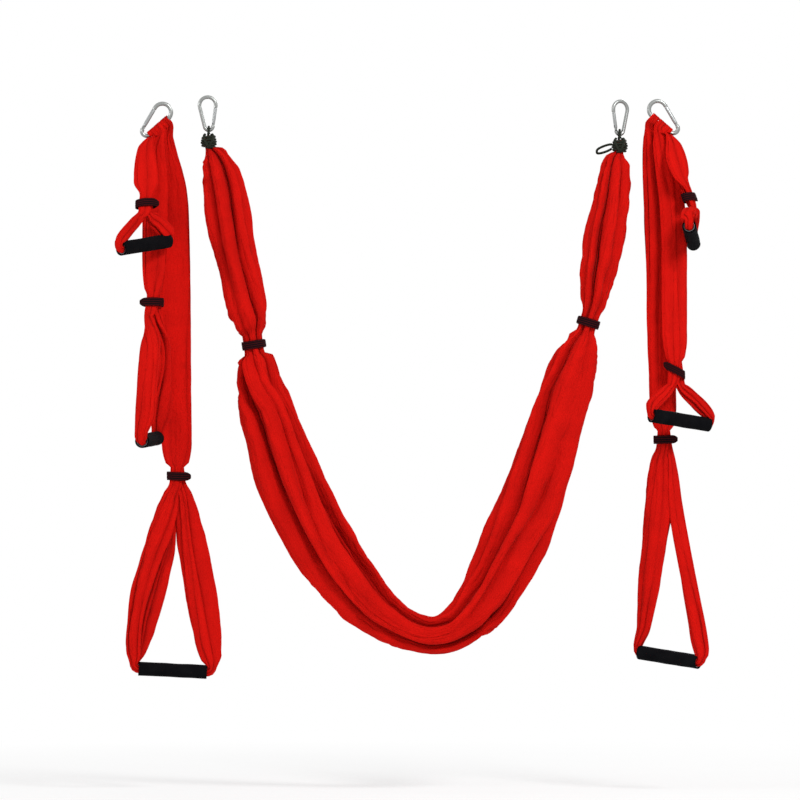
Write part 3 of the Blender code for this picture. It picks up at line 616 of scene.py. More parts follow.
def tie_top(plan):
    """The height of a tie's highest turn, a little below the hook's foot."""
    return plan.foot_point().z - plan.bar / 2 - CORD_BELOW_HOOK


def tie_line(plan, clearance):
    """The cord's middle, from its lowest turn up over the hook's foot and down in front."""
    foot, top = plan.foot_point(), tie_top(plan)
    radius = CORD_NECK * TURN_SNUG + TOUCHING + CORD / 2
    count = int(CORD_TURNS * TURN_POINTS)
    line = []
    for number in range(count + 1):
        left = (count - number) / TURN_POINTS
        angle = math.pi / 2 - 2 * math.pi * left
        out = radius + UNEVEN_OUT * (1 + math.sin(angle * OUT_WAVES + foot.x * TIES_DIFFER))
        out += KNOT_BULGE * math.sin(math.pi * number / count)
        height = top - CORD_PITCH * left + UNEVEN_UP * math.sin(angle * UP_WAVES)
        line.append(Vector((foot.x + out * math.cos(angle), out * math.sin(angle), height)))
    over = plan.bar / 2 + clearance + CORD / 2
    line.append(Vector((foot.x, radius, top)) + LEAVES_TURNS)
    for number in range(OVER_STEPS + 1):
        angle = math.pi * number / OVER_STEPS
        line.append(Vector((foot.x, over * math.cos(angle), foot.z + over * math.sin(angle))))
    line.append(Vector((foot.x, -(radius + over) / 2, (foot.z + top) / 2)))
    line.append(Vector((foot.x, -radius, top)) + TUCKS_IN)
    return line


def length_of(line):
    return sum((b - a).length for a, b in zip(line, line[1:]))


TIES = {
    side: tie_line(HOOKS[f"hammock_{side}"], clearance) for side, clearance in EYE_CLEARANCE.items()
}
for side, line in TIES.items():
    print(f"{side} tie: {length_of(line) * 1000:.0f} mm of cord in the turns and over the hook")

# %% [markdown]
# ## The strands across the knots
# In the photograph each knot is as round as a nut, because strands cross the turns. Four are made
# here for each knot. A strand starts close to the neck just above the top turn, arches out over the
# turns and sinks in again beside the lowest one. Each is given by the angle that it faces, 0 being
# the right side, and by how far it slants round the knot on its way down, both in radians.

# %% The strands across the knots
CROSSINGS = ((-2.0, 0.9), (-1.15, -0.8), (1.4, 0.8), (2.2, -0.5))
CROSSING_POINTS = 11
CROSSING_SUNK = 0.25
CROSSING_ARCH = 0.95
ARCH_FLATNESS = 0.4
CROSSING_ABOVE = 0.7
CROSSING_BELOW = 0.2
CORD_STEP = 0.0012


def crossing_line(plan, facing, slant):
    """A strand of the knot that crosses the turns on the side that it faces."""
    foot, top = plan.foot_point(), tie_top(plan)
    high = top + CORD * CROSSING_ABOVE
    low = top - CORD_PITCH * CORD_TURNS - CORD * CROSSING_BELOW
    line = []
    for share in np.linspace(0, 1, CROSSING_POINTS):
        angle = facing + slant * (share - 0.5)
        arch = math.sin(math.pi * share)
        out = CORD_NECK * TURN_SNUG + KNOT_BULGE * arch
        out += CORD * (CROSSING_SUNK + CROSSING_ARCH * arch ** ARCH_FLATNESS)
        line.append(Vector((
            foot.x + out * math.cos(angle), out * math.sin(angle), high + (low - high) * share
        )))
    return line


def cord_piece(name, line, replaced=()):
    """A piece of cord along a line, and the points that it follows."""
    line, _ = resampled([tuple(point) for point in line], CORD_STEP, fine=6)
    obj = show(name, tube(line, CORD / 2, sides=14), green_cord, "hammock", replaced)
    return obj, [Vector(point) for point in line]


for side, line in TIES.items():
    cord_piece(f"hammock_{side}_tie", line, [f"hammock_{side}_tie_cord"])
    for number, (facing, slant) in enumerate(CROSSINGS):
        line = crossing_line(HOOKS[f"hammock_{side}"], facing, slant)
        cord_piece(f"hammock_{side}_tie_crossing_{number + 1}", line)
print(f"knots: {len(TIES)}, with {len(CROSSINGS)} strands across the turns of each")

# %% [markdown]
# ## The slack bow
# A loop of slack was left in the right tie when it was pulled tight. It stands out to the left,
# as wide as stiff cord of that thickness bends, and its tip droops under its own weight. The loop
# is drawn as a flattened circle whose two ends run back into the turns.

# %% The slack bow
BOW_REACH = 0.0305
BOW_HALF = Vector((0.0050, 0.0058))
BOW_TURN = 2.5
BOW_DROOP = 0.34
BOW_OPENING = math.pi * 0.17
BOW_STANDS_OUT = 1.06
BOW_FLATNESS = 0.6
BOW_STEPS = 22


def bow_line(plan):
    """A flat loop that leaves the turns, swings out to the left and comes back lower down."""
    start = plan.foot_point().x - CORD_NECK - CORD * BOW_STANDS_OUT - TOUCHING
    level = tie_top(plan) - CORD_PITCH * BOW_TURN
    line = []
    for number in range(BOW_STEPS + 1):
        angle = BOW_OPENING + (2 * math.pi - 2 * BOW_OPENING) * number / BOW_STEPS
        reach = (math.cos(BOW_OPENING) - math.cos(angle)) / 2 * BOW_REACH
        fat = math.copysign(abs(math.sin(angle)) ** BOW_FLATNESS, math.sin(angle))
        line.append(Vector((
            start - reach, -BOW_HALF.x * fat, level - reach * BOW_DROOP + BOW_HALF.y * fat
        )))
    return line


bow, bow_path = cord_piece(
    "hammock_right_bow", bow_line(HOOKS["hammock_right"]), ["hammock_right_tie_bow"]
)
BOW_LENGTH = round(length_of(bow_path), 3)
tuple(bow_path[0])
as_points(bow_path)
print(f"slack bow: {BOW_LENGTH * 1000:.0f} mm of {CORD * 1000:.1f} mm cord")

# %% [markdown]
# ## Hook frames
# A hook's frame is one round bar, flattened to a tongue where the gate hinges, bent round the
# foot, up the spine, over the crown and down to its nose. A round face is extruded through
# sections along that route, close together on the bends. The tongue's sections give how far past
# the hinge they lie, how wide they are against the bar and how thick against the tongue.

# %% Hook frames
BAR_SIDES = 24
TONGUE = 0.0024
TONGUE_RUN = 0.0045
FORK_END = 0.0018
TONGUE_SECTIONS = (
    (FORK_END, 0.55, 0.8), (FORK_END - 0.0008, 0.76, 1.0),
    (-TONGUE_RUN, 0.8, 1.0), (-TONGUE_RUN - 0.0008, 0.95, 2.6),
)
NOSE_SECTIONS = ((0.0007, 1.0), (0.0001, 0.95), (0.0, 0.8))
FOOT_STEPS = 14
CROWN_STEPS = 26


def bend_sections(plan, centre, radius, first, sweep, steps):
    """The round sections of one bend of the bar."""
    for step in range(steps + 1):
        out = plan.outward(first + sweep * step / steps)
        yield Section(centre + out * radius, out * plan.bar / 2, plan.normal * plan.bar / 2)


def frame_sections(plan):
    bar = plan.bar / 2
    side = -plan.gate_direction().cross(plan.normal)
    sections = []
    for along, wide, thick in TONGUE_SECTIONS:
        through = plan.normal * min(bar, TONGUE / 2 * thick)
        sections.append(Section(plan.gate_point(GATE_HINGE + along), side * bar * wide, through))
    sections += bend_sections(
        plan, plan.foot, plan.hook.foot_radius, math.pi + plan.taper, math.pi - 2 * plan.taper,
        FOOT_STEPS,
    )
    sections += bend_sections(
        plan, plan.crown, plan.crown_radius, -plan.taper, math.pi + 2 * plan.taper, CROWN_STEPS
    )
    out = plan.outward(math.pi + plan.taper) * bar
    for back, share in NOSE_SECTIONS:
        place = plan.gate_point(plan.side - NOSE_RUN + back)
        sections.append(Section(place, out * share, plan.normal * bar * share))
    return sections


bars = {name: lofted(frame_sections(plan), BAR_SIDES) for name, plan in HOOKS.items()}
for name, bar in bars.items():
    print(f"{name}: {len(bar.faces)} faces in its bar")

# %% [markdown]
# ## Gates
# The gate is a shorter bar, forked at the bottom to straddle the tongue. Each prong of the fork is
# the same bar cut by a plane on its own side of the tongue. The hinge pin and the spring keep their
# working shapes, and only take their finish here.

# %% Gates
FORK_DEPTH = 0.004
FORK_CLEARANCE = 0.0004
NOSE_GAP = 0.0005
GATE_ROOT = ((0.0, 1.0), (0.001, 1.0))
GATE_TIP = ((-0.0012, 1.0), (-0.0004, 0.94), (0.0, 0.78))
PRONG_TIP = ((0.0, 0.8), (0.0005, 0.96), (0.0012, 1.0))
SHARP_EDGE = math.radians(40)


def gate_bar(plan, places):
    """A straight round bar along the gate, through (how far along, how thick) places."""
    bar = plan.bar / 2 - TOUCHING
    side = plan.gate_direction().cross(plan.normal)
    return lofted([
        Section(plan.gate_point(along), side * bar * share, plan.normal * bar * share)
        for along, share in places
    ], BAR_SIDES)


def gate_shape(plan):
    low = GATE_HINGE - FORK_END
    deep = low + FORK_END + FORK_DEPTH
    tip = plan.side - NOSE_RUN - NOSE_GAP
    places = [(deep + on, share) for on, share in GATE_ROOT]
    shape = gate_bar(plan, places + [(tip + on, share) for on, share in GATE_TIP])
    for hand in (1, -1):
        prong = gate_bar(plan, [(low + on, share) for on, share in PRONG_TIP] + [(deep, 1.0)])
        cut = bmesh.ops.bisect_plane(
            prong, geom=prong.verts[:] + prong.edges[:] + prong.faces[:], dist=1e-6,
            plane_co=plan.gate_point(low) + plan.normal * hand * (TONGUE / 2 + FORK_CLEARANCE),
            plane_no=plan.normal * hand, clear_inner=True,
        )
        edges = [part for part in cut["geom_cut"] if isinstance(part, bmesh.types.BMEdge)]
        bmesh.ops.holes_fill(prong, edges=edges)
        add_shape(shape, prong)
    return shape


for name, plan in HOOKS.items():
    bar = show(
        f"{name}_hook_bar", bars[name], hook_steel, "hooks", [f"{name}_hook_frame"]
    )
    gate = show(
        f"{name}_hook_gate", gate_shape(plan), gate_steel, f"{name}_hook_gate",
        [f"{name}_gate"],
    )
    for piece in (bar, gate):
        piece.data.set_sharp_from_angle(angle=SHARP_EDGE)
    for node in ("gate_pin", "gate_spring"):
        frame["nodes"][f"{name}_{node}"].data.materials[0] = spring_steel
    print(f"{name}: {len(gate.data.polygons)} faces in its gate")

# %% [markdown]
# ## How gathered cloth folds
# A wide sheet drawn through a narrow place lies in folds side by side, like a fan closed into a
# bundle. Seen from outside there are broad soft crests with dark creases between them, and each
# crease runs lengthwise, drifts to one side, deepens near a tie and fades out on the way to the
# next one. The sheet's two edges lap over each other somewhere on the bundle.
#
# A cloth simulation could find such folds, but it wouldn't put them where the photograph shows
# them. So the fold is written as a rule in a section's own round angle: every fold has a border
# on each side, and the sheet dips towards the bundle's middle at a border and bulges between two.
# Slow waves of chance, the same each time, move the borders and change their depth along the
# cloth. Each wave is given as a pair: how far it gets from one fold to the next, and how many
# metres of cloth it takes to change.

# %% Folds, bundles and chance
Bundle = namedtuple("Bundle", "centre across through half deep along pinch")
Fold = namedtuple("Fold", "weight height columns")
SLOWEST, FASTEST = 0.5, 1.6


def fold_plan(groups, broad, tucked):
    """Groups of broad folds that show, with narrow folds tucked in between one group and the next."""
    return (list(broad) + list(tucked)) * groups


def chance(u, v, seed, waves=7):
    """Smooth variation over two directions, mostly between -1 and 1, the same for each seed."""
    pick = np.random.default_rng(seed)
    total = 0
    for _ in range(waves):
        angle, phase = pick.uniform(0, 2 * math.pi, 2)
        pace = pick.uniform(SLOWEST, FASTEST) * 2 * math.pi
        total = total + np.sin(pace * (u * math.cos(angle) + v * math.sin(angle)) + phase)
    return total / math.sqrt(waves)


def chance_by_fold(count, bundle, wave, seed):
    """Chance for each row of the bundle and each of a number of folds or borders."""
    step, run = wave
    return chance(np.arange(count)[None, :] * step, bundle.along[:, None] / run, seed)


def eased(share):
    """From 0 to 1 with a soft start and a soft end, and no further on either side."""
    share = np.clip(share, 0, 1)
    return share * share * (3 - 2 * share)

# %% [markdown]
# ### Borders and creases
# The first helper says which fold each column of the sheet is in. The second says where the
# folds' borders run, and the third how deep the sheet dips there, how flat the folds' tops are and
# how far the creases lean over. Between two broad folds the dip is soft. Round a tucked fold it
# goes nearly to the middle of the bundle.

# %% Borders and creases
BORDER_CROWDING = 0.62
WIDTH_WAVE, DIP_WAVE, LEAN_WAVE = (0.37, 0.7), (0.61, 0.4), (0.43, 0.6)
LEAST_WIDTH = 0.3
PINCH_EVENS = 0.6
DIP_SWING = 0.6
TUCK_DEPTH = 0.86
PINCHED_DIP = 0.42
PINCH_DEEPENS = 0.8
EDGE_DIP = 0.03
SOFT_TOP, TUCKED_TOP = 0.8, 0.34
PINCH_FLATTENS = 0.3
CREASE_LEAN = 0.6


def fold_columns(folds):
    """The fold that each column is in and how far across it, closer together at the borders."""
    fold = np.concatenate([np.full(kind.columns, number) for number, kind in enumerate(folds)])
    t = np.concatenate([np.arange(kind.columns) / kind.columns for kind in folds])
    fold, t = np.append(fold, len(folds) - 1), np.append(t, 1.0)
    return fold, t - BORDER_CROWDING * np.sin(2 * math.pi * t) / (2 * math.pi)


def fold_borders(bundle, folds, seed, planned, uneven):
    """Where each fold begins and ends, in shares of the way round, for each row of the bundle.

    The planned widths, if any, are rows of how far along and then one width for each broad fold.
    """
    weight = np.array([kind.weight for kind in folds])[None, :]
    if planned is not None:
        weight = np.repeat(weight, len(bundle.along), axis=0)
        broad = [number for number, kind in enumerate(folds) if kind.height >= 1]
        for number, column in zip(broad, planned.T[1:]):
            weight[:, number] = np.interp(bundle.along / bundle.along[-1], planned[:, 0], column)
    swing = uneven * (1 - PINCH_EVENS * bundle.pinch[:, None])
    swing = swing * chance_by_fold(len(folds), bundle, WIDTH_WAVE, seed)
    widths = weight * np.clip(1 + swing, LEAST_WIDTH, None)
    borders = np.cumsum(widths, axis=1) / widths.sum(axis=1, keepdims=True)
    return np.hstack((np.zeros((len(widths), 1)), borders))


def border_creases(bundle, folds, seed, dips):
    """For each row and border: how deep the dip is, how flat the tops beside it, and its lean."""
    pinch = bundle.pinch[:, None]
    shows = np.array([kind.height >= 1 for kind in folds])
    soft = np.concatenate(([False], shows[1:] & shows[:-1], [False]))
    depth = eased(0.5 + DIP_SWING * chance_by_fold(len(soft), bundle, DIP_WAVE, seed + 1))
    dip = dips[0] + (dips[1] - dips[0]) * depth
    dip = np.where(soft, dip + (PINCHED_DIP - dip) * pinch * PINCH_DEEPENS, TUCK_DEPTH)
    dip[:, 0] = dip[:, -1] = EDGE_DIP
    power = np.where(soft, SOFT_TOP - PINCH_FLATTENS * pinch, TUCKED_TOP)
    return dip, power, CREASE_LEAN * chance_by_fold(len(soft), bundle, LEAN_WAVE, seed + 2)

# %% [markdown]
# ### The sheet
# The sheet's points follow from the borders and creases. It goes round a little more than once, so
# that its two edges lap over each other. Finer waves then add the crumple that nylon keeps, each
# given as how long it is round the bundle and along it, how high it stands, how much higher where
# the cloth is pinched, and how many waves are mixed. A thin tight bundle crumples less than a
# broad one.

# %% The sheet
LAP = 0.07
CRUMPLES = (
    (0.060, 0.25, 0.0024, 0.0, 7), (0.020, 0.080, 0.0009, 0.0, 9), (0.014, 0.022, 0.0002, 0.0003, 9),
)
TIGHT_SIZE, LOOSE_SIZE = 0.011, 0.031
LEAST_CRUMPLE = 0.12
HEM_RADIUS = 0.0009


def crumple(bundle, angle, seed):
    """How far the fine waves raise each point, in shares of the bundle's size."""
    size = np.sqrt(bundle.half * bundle.deep)[:, None]
    height = 0
    for number, (round_run, run, high, pinched, waves) in enumerate(CRUMPLES):
        wave = chance(angle * size / round_run, bundle.along[:, None] / run, seed + number, waves)
        height = height + wave * (high + pinched * bundle.pinch[:, None])
    loose = np.clip((size - TIGHT_SIZE) / (LOOSE_SIZE - TIGHT_SIZE), LEAST_CRUMPLE, 1)
    return height * loose / size


def gathered(bundle, folds, seed, lap_at, dips, uneven, drift=0.0, planned=None):
    """A sheet gathered into a bundle: its places, its map in metres and how hollow it is there."""
    along = bundle.along[:, None]
    fold, t = fold_columns(folds)
    borders = fold_borders(bundle, folds, seed, planned, uneven)
    turn = borders[:, fold] + t * (borders[:, fold + 1] - borders[:, fold])
    dip, power, lean = (
        values[:, fold] * (1 - t) + values[:, fold + 1] * t
        for values in border_creases(bundle, folds, seed, dips)
    )
    height = np.array([kind.height for kind in folds])[fold]
    reach = 1 - dip + (height - (1 - dip)) * np.sin(math.pi * np.clip(t, 0, 1)) ** power
    hollow = 1 - reach
    angle = lap_at + drift * along + 2 * math.pi * (1 + LAP) * turn + lean * hollow
    reach = reach * (1 + LAP / 2 * (turn - 0.5)) + crumple(bundle, angle, seed + 3)
    across_way = bundle.across[:, None, :] * (bundle.half[:, None] * reach * np.cos(angle))[..., None]
    through_way = bundle.through[:, None, :] * (bundle.deep[:, None] * reach * np.sin(angle))[..., None]
    places = bundle.centre[:, None, :] + across_way + through_way
    run = np.linalg.norm(np.diff(places, axis=1), axis=2).mean(axis=0)
    flat = np.dstack(np.broadcast_arrays(np.concatenate(([0], np.cumsum(run))), along))
    return places, flat, hollow


def hems(name, sheets, body):
    """The narrow rolled hems down both edges of a sheet."""
    made = []
    for places, _, _ in sheets:
        for edge in (0, -1):
            bead = tube(places[:, edge], HEM_RADIUS, sides=6)
            made.append(show(f"{name}_hem_{len(made) + 1}", bead, red_hem, body))
    return made


def cloth_piece(name, sheets, body, replaced):
    """One piece of cloth from one or more gathered sheets."""
    shape = bmesh.new()
    for places, flat, _ in sheets:
        add_shape(shape, surface(places, flat))
    obj = show(name, shape, red_cloth, body, replaced)
    # How hollow each point is, kept on the mesh, from which the red cloth's finish paints shade inside
    # the folds.
    hollows = np.concatenate([hollow.reshape(-1) for _, _, hollow in sheets])
    layer = obj.data.attributes.new("hollow", "FLOAT", "POINT")
    layer.data.foreach_set("value", hollows.astype(np.float32))
    return obj


def area_of(obj):
    return sum(face.area for face in obj.data.polygons)

# %% [markdown]
# ## The hammock's route and folds
# The hammock is one sheet, about 2.1 m long between its ties and 1.3 m wide. It hangs in a deep
# curve, drawn in at the two ties and again by a band on each arm. The route below is chosen from
# the photograph: how far across the span, how deep, and how wide the bundle is there.
# Where the main creases run is chosen too, as the angle round the bundle at which each broad fold
# begins: 0 is the outer side of the curve, 180 the inner side and 270 the front. Each row of them
# starts with how far along the sheet it is. The angles become widths, against a mean broad fold
# of 38.5 degrees, because narrow folds are tucked in between the broad ones.

# %% The hammock's route and folds
HAMMOCK_SPAN = 0.768
HAMMOCK_ROUTE = (
    (0.006, 0.108, 0.050),
    (0.015, 0.126, 0.066),
    (0.028, 0.164, 0.080),
    (0.043, 0.238, 0.086),
    (0.056, 0.290, 0.083),
    (0.072, 0.344, 0.081),
    (0.085, 0.392, 0.080),
    (0.096, 0.431, 0.062),
    (0.103, 0.467, 0.038),
    (0.109, 0.494, 0.068),
    (0.116, 0.534, 0.083),
    (0.130, 0.577, 0.104),
    (0.184, 0.707, 0.127),
    (0.261, 0.832, 0.132),
    (0.350, 0.931, 0.114),
    (0.443, 0.992, 0.088),
    (0.535, 1.019, 0.075),
    (0.607, 1.005, 0.080),
    (0.678, 0.948, 0.108),
    (0.750, 0.838, 0.122),
    (0.819, 0.694, 0.118),
    (0.868, 0.578, 0.106),
    (0.900, 0.500, 0.085),
    (0.919, 0.457, 0.060),
    (0.932, 0.425, 0.036),
    (0.947, 0.386, 0.049),
    (0.956, 0.327, 0.068),
    (0.972, 0.259, 0.082),
    (0.985, 0.207, 0.077),
    (0.998, 0.139, 0.062),
    (1.001, 0.116, 0.048),
)
HAMMOCK_BANDS = {"left": 8, "right": 24}
HAMMOCK_FOLDS = fold_plan(5, [Fold(1.0, 1.0, 16)] * 2, [Fold(0.11, 0.64, 6)] * 2)
FOLD_BORDERS = np.array((
    (0.00, 34, 68, 105, 128, 152, 208, 255, 315, 376, 398, 419),
    (0.10, 34, 68, 105, 128, 152, 204, 244, 313, 376, 398, 419),
    (0.17, 34, 68, 105, 128, 152, 200, 233, 314, 376, 398, 419),
    (0.25, 34, 68, 105, 128, 150, 192, 222, 262, 300, 345, 419),
    (0.42, 34, 66, 100, 122, 145, 175, 203, 245, 287, 340, 419),
    (0.52, 34, 68, 103, 125, 148, 190, 222, 262, 305, 350, 419),
    (0.66, 34, 68, 103, 125, 148, 198, 236, 300, 374, 397, 419),
    (0.80, 34, 68, 103, 125, 148, 198, 236, 298, 374, 397, 419),
    (0.89, 34, 68, 105, 128, 152, 212, 262, 312, 374, 397, 419),
    (1.00, 34, 68, 105, 128, 152, 202, 240, 300, 374, 397, 419),
))
MEAN_FOLD = 38.5
HAMMOCK_PLAN = np.column_stack((
    FOLD_BORDERS[:, 0], np.diff(FOLD_BORDERS[:, 1:], axis=1) / MEAN_FOLD
))

# %% [markdown]
# ## The hammock
# The bundle follows the route from tie to tie, and is a little thinner from front to back than it
# is wide, except at a band, which makes it round. The cloth is pinched near the ties and the
# bands, where its creases are deepest.

# %% The hammock
HAMMOCK_DEPTH = 0.80
CLOTH_STEP = 0.0060
BAND_ZONE = 0.016
PINCH_RUN = 0.070
TIE_ZONE = 0.03
TIE_HOLDS, TIE_END_HOLDS = CORD_NECK * 0.72, CORD_NECK * 0.5
ABOVE_TIE, IN_TIE, ABOVE_LAST_TURN = CORD * 0.1, CORD * 0.6, 0.4
CLEAR_OF_TIE = 0.008


def band_place(side):
    """The middle of a hammock band, the cloth's direction there and the bundle's half width."""
    number = HAMMOCK_BANDS[side]
    share, depth, width = HAMMOCK_ROUTE[number]
    (before, above, _), (after, below, _) = HAMMOCK_ROUTE[number - 1], HAMMOCK_ROUTE[number + 1]
    along = Vector(((after - before) * HAMMOCK_SPAN, 0, above - below)).normalized()
    return Vector(((share - 0.5) * HAMMOCK_SPAN, 0, -depth)), along, width / 2


def tie_rows(side):
    """Places and half widths of the cloth inside a tie, from its top down."""
    plan = HOOKS[f"hammock_{side}"]
    middle, top = plan.foot_point().x, tie_top(plan)
    low = top - CORD_PITCH * (CORD_TURNS - ABOVE_LAST_TURN)
    return [
        (middle, 0, top + ABOVE_TIE, TIE_END_HOLDS), (middle, 0, top - IN_TIE, TIE_HOLDS),
        (middle, 0, low, TIE_HOLDS),
    ]


def hammock_rows():
    """Places and half widths of the hammock, from the left tie to the right one."""
    first, last = tie_rows("left"), tie_rows("right")
    highest = min(first[-1][2], last[-1][2]) - CLEAR_OF_TIE
    bands = {number: side for side, number in HAMMOCK_BANDS.items()}
    middle = []
    for number, (share, depth, width) in enumerate(HAMMOCK_ROUTE):
        if number in bands:
            place, along, half = band_place(bands[number])
            middle += [(*(place + along * BAND_ZONE * way), half) for way in (-1, 0, 1)]
        elif -depth <= highest:
            middle.append(((share - 0.5) * HAMMOCK_SPAN, 0, -depth, width / 2))
    return first + middle + last[::-1]


def hammock_bundle():
    rows, along = resampled(hammock_rows(), CLOTH_STEP)
    centre, half = rows[:, :3], rows[:, 3]
    across = np.cross(Y, headings_of(centre))
    through = np.broadcast_to(Y, centre.shape)
    narrow = max(band_place(side)[2] for side in HAMMOCK_BANDS)
    deep = np.where(half <= narrow, half, narrow + (half - narrow) * HAMMOCK_DEPTH)
    bands = [np.array(band_place(side)[0]) for side in HAMMOCK_BANDS]
    gap = np.min([np.linalg.norm(centre - place, axis=1) for place in bands], axis=0) - BAND_ZONE
    gap = np.minimum(gap, np.minimum(along, along[-1] - along) - TIE_ZONE)
    pinch = np.exp(-np.clip(gap, 0, None) / PINCH_RUN)
    return Bundle(centre, across, through, half, deep, along, pinch)


bundle = hammock_bundle()
sheets = [gathered(
    bundle, HAMMOCK_FOLDS, seed=11, lap_at=0.6, dips=(0.05, 0.26), uneven=0.22, planned=HAMMOCK_PLAN
)]
hammock = cloth_piece("hammock_sheet", sheets, "hammock", ["hammock_cloth"])
HAMMOCK_LENGTH = round(float(bundle.along[-1]), 2)
hems("hammock", sheets, "hammock")
print(
    f"hammock: {HAMMOCK_LENGTH:.2f} m long, {area_of(hammock):.2f} square metres,"
    f" {area_of(hammock) / HAMMOCK_LENGTH:.2f} m wide on average, {len(hammock.data.polygons)} faces"
)

# %% [markdown]
# ## Six hand loops
# Each hand loop is one long strip of the same cloth, gathered and sewn into a ring. It passes over
# the hook's spine, its two halves hang together down to a cinch band, and below the band they part
# as two legs that enter the grip from either end.
#
# The eye, the grip and its axis come from the frame's joints, further down. What the joints don't
# say is listed here, read off the photograph. The neck, the shoulder and the band are given from
# the eye, the first two with the bundle's half width there, and the band's turn and tilt are in
# degrees. The legs, left one first, have half widths at seven stations on their way down and a
# sideways shift where they are fullest, both in millimetres, and a half depth there. An elbow has
# three numbers: how far it stands out from the grip, its radius and its half depth. The spread is
# the angle in degrees at which a leg leaves the band, and hang says how stiffly it leaves there
# and arrives at the elbow.

# %% Six hand loops
LEG_STATIONS = (0.0, 0.1, 0.3, 0.55, 0.75, 0.9, 1.0)
Loop = namedtuple(
    "Loop",
    "name hook seed neck neck_half shoulder shoulder_half band band_turn band_tilt leg_halves"
    " leg_depths leg_shifts elbow spread hang",
)
LOOPS = (
    Loop(
        name="left_short", hook="left_set", seed=3,
        neck=Vector((-0.011, -0.017, -0.034)), neck_half=0.0165,
        shoulder=Vector((-0.011, -0.034, -0.096)), shoulder_half=0.0235,
        band=Vector((-0.011, -0.050, -0.137)), band_turn=12, band_tilt=8,
        leg_halves=((7.5, 9, 11, 12, 11.5, 9, 6.5), (7.5, 11, 16, 20, 21, 18, 11)),
        leg_depths=(0.009, 0.009), leg_shifts=(0, 0), elbow=(0.0048, 0.0050, 0.0085),
        spread=38, hang=(0.4, 0.15),
    ),
    Loop(
        name="left_medium", hook="left_set", seed=5,
        neck=Vector((-0.001, 0, -0.034)), neck_half=0.0165,
        shoulder=Vector((-0.006, -0.001, -0.130)), shoulder_half=0.0235,
        band=Vector((-0.010, -0.030, -0.334)), band_turn=0, band_tilt=0,
        leg_halves=((7.5, 10, 13, 14, 13, 10, 7), (7.5, 10, 12, 12, 11, 9, 7)),
        leg_depths=(0.0205, 0.0225), leg_shifts=(7, 5), elbow=(0.0068, 0.0075, 0.0125),
        spread=0, hang=(0.6, 0.8),
    ),
    Loop(
        name="left_long", hook="left_set", seed=8,
        neck=Vector((0.001, 0.017, -0.034)), neck_half=0.0145,
        shoulder=Vector((0.0125, 0.033, -0.160)), shoulder_half=0.0300,
        band=Vector((0.021, 0.052, -0.675)), band_turn=0, band_tilt=-3,
        leg_halves=((9, 20, 28.5, 33.5, 27, 18.5, 10.5), (9, 20, 28, 31, 28, 22.5, 12)),
        leg_depths=(0.013, 0.013), leg_shifts=(1, -4), elbow=(0.0085, 0.0085, 0.0100),
        spread=13, hang=(0.9, 0.35),
    ),
    Loop(
        name="right_short", hook="right_set", seed=13,
        neck=Vector((0.011, -0.017, -0.034)), neck_half=0.0165,
        shoulder=Vector((0.022, -0.030, -0.080)), shoulder_half=0.0225,
        band=Vector((0.040, -0.030, -0.130)), band_turn=62, band_tilt=-12,
        leg_halves=((7.5, 9, 12, 14, 13, 11, 8), (7.5, 9, 12, 14, 13, 11, 8)),
        leg_depths=(0.0160, 0.0085), leg_shifts=(-3, -3), elbow=(0.0060, 0.0070, 0.0085),
        spread=52, hang=(0.5, 0.35),
    ),
    Loop(
        name="right_medium", hook="right_set", seed=21,
        neck=Vector((0.001, 0, -0.034)), neck_half=0.0165,
        shoulder=Vector((0.021, -0.002, -0.160)), shoulder_half=0.0245,
        band=Vector((0.027, -0.016, -0.468)), band_turn=0, band_tilt=-28,
        leg_halves=((7.5, 9.5, 12, 13, 13, 12, 9), (7.5, 10, 13.5, 15, 13, 9.5, 6.5)),
        leg_depths=(0.010, 0.010), leg_shifts=(0, 0), elbow=(0.0036, 0.0055, 0.0092),
        spread=36, hang=(0.5, 0.3),
    ),
    Loop(
        name="right_long", hook="right_set", seed=34,
        neck=Vector((-0.004, 0.017, -0.034)), neck_half=0.0165,
        shoulder=Vector((0.006, 0.0208, -0.140)), shoulder_half=0.0270,
        band=Vector((0.019, 0.0208, -0.610)), band_turn=0, band_tilt=0,
        leg_halves=((10, 22, 30, 28.5, 18.5, 12, 8), (8, 13, 15.5, 16, 17.5, 17.5, 12.5)),
        leg_depths=(0.012, 0.012), leg_shifts=(8, -4), elbow=(0.0055, 0.0070, 0.0096),
        spread=4, hang=(1.0, 0.35),
    ),
)


for loop in LOOPS:
    print(f"{loop.name}: its band is {-loop.band.z * 1000:.0f} mm below its eye")

# %% [markdown]
# ## Where the loops hang
# The joints of the frame say where each loop hangs and where its grip is. A loop swings about its
# hook's spine, so the joint's place is the loop's eye, and a grip turns about its own axis.

# %% Where the loops hang
RIGHT_OR_AWAY = Vector((1, 0.3, 0))


def about_z(vector, degrees):
    return Matrix.Rotation(math.radians(degrees), 3, "Z") @ vector


def loop_eye(loop):
    """The point on the hook's spine that a loop hangs from."""
    medium = loop.name.endswith("medium")
    joint = f"{loop.hook}_swings" if medium else f"{loop.name}_loop_swings"
    return Vector(JOINTS[joint]["pos_m"])


def band_lean(loop):
    return (loop.band - loop.shoulder).normalized()


def grip_axis(loop):
    """A grip's middle, the direction along it to the right or away, and the one up from it."""
    joint = JOINTS[f"{loop.name}_grip_turns"]
    along = Vector(joint["axis"]).normalized()
    if along.dot(RIGHT_OR_AWAY) < 0:
        along = -along
    level = Vector((along.x, along.y, 0)).normalized()
    return Vector(joint["pos_m"]), along, along.cross(Z.cross(level))


for loop in LOOPS:
    drop = loop_eye(loop).z - grip_axis(loop)[0].z
    print(f"{loop.name}: its grip hangs {drop * 1000:.0f} mm below its eye")

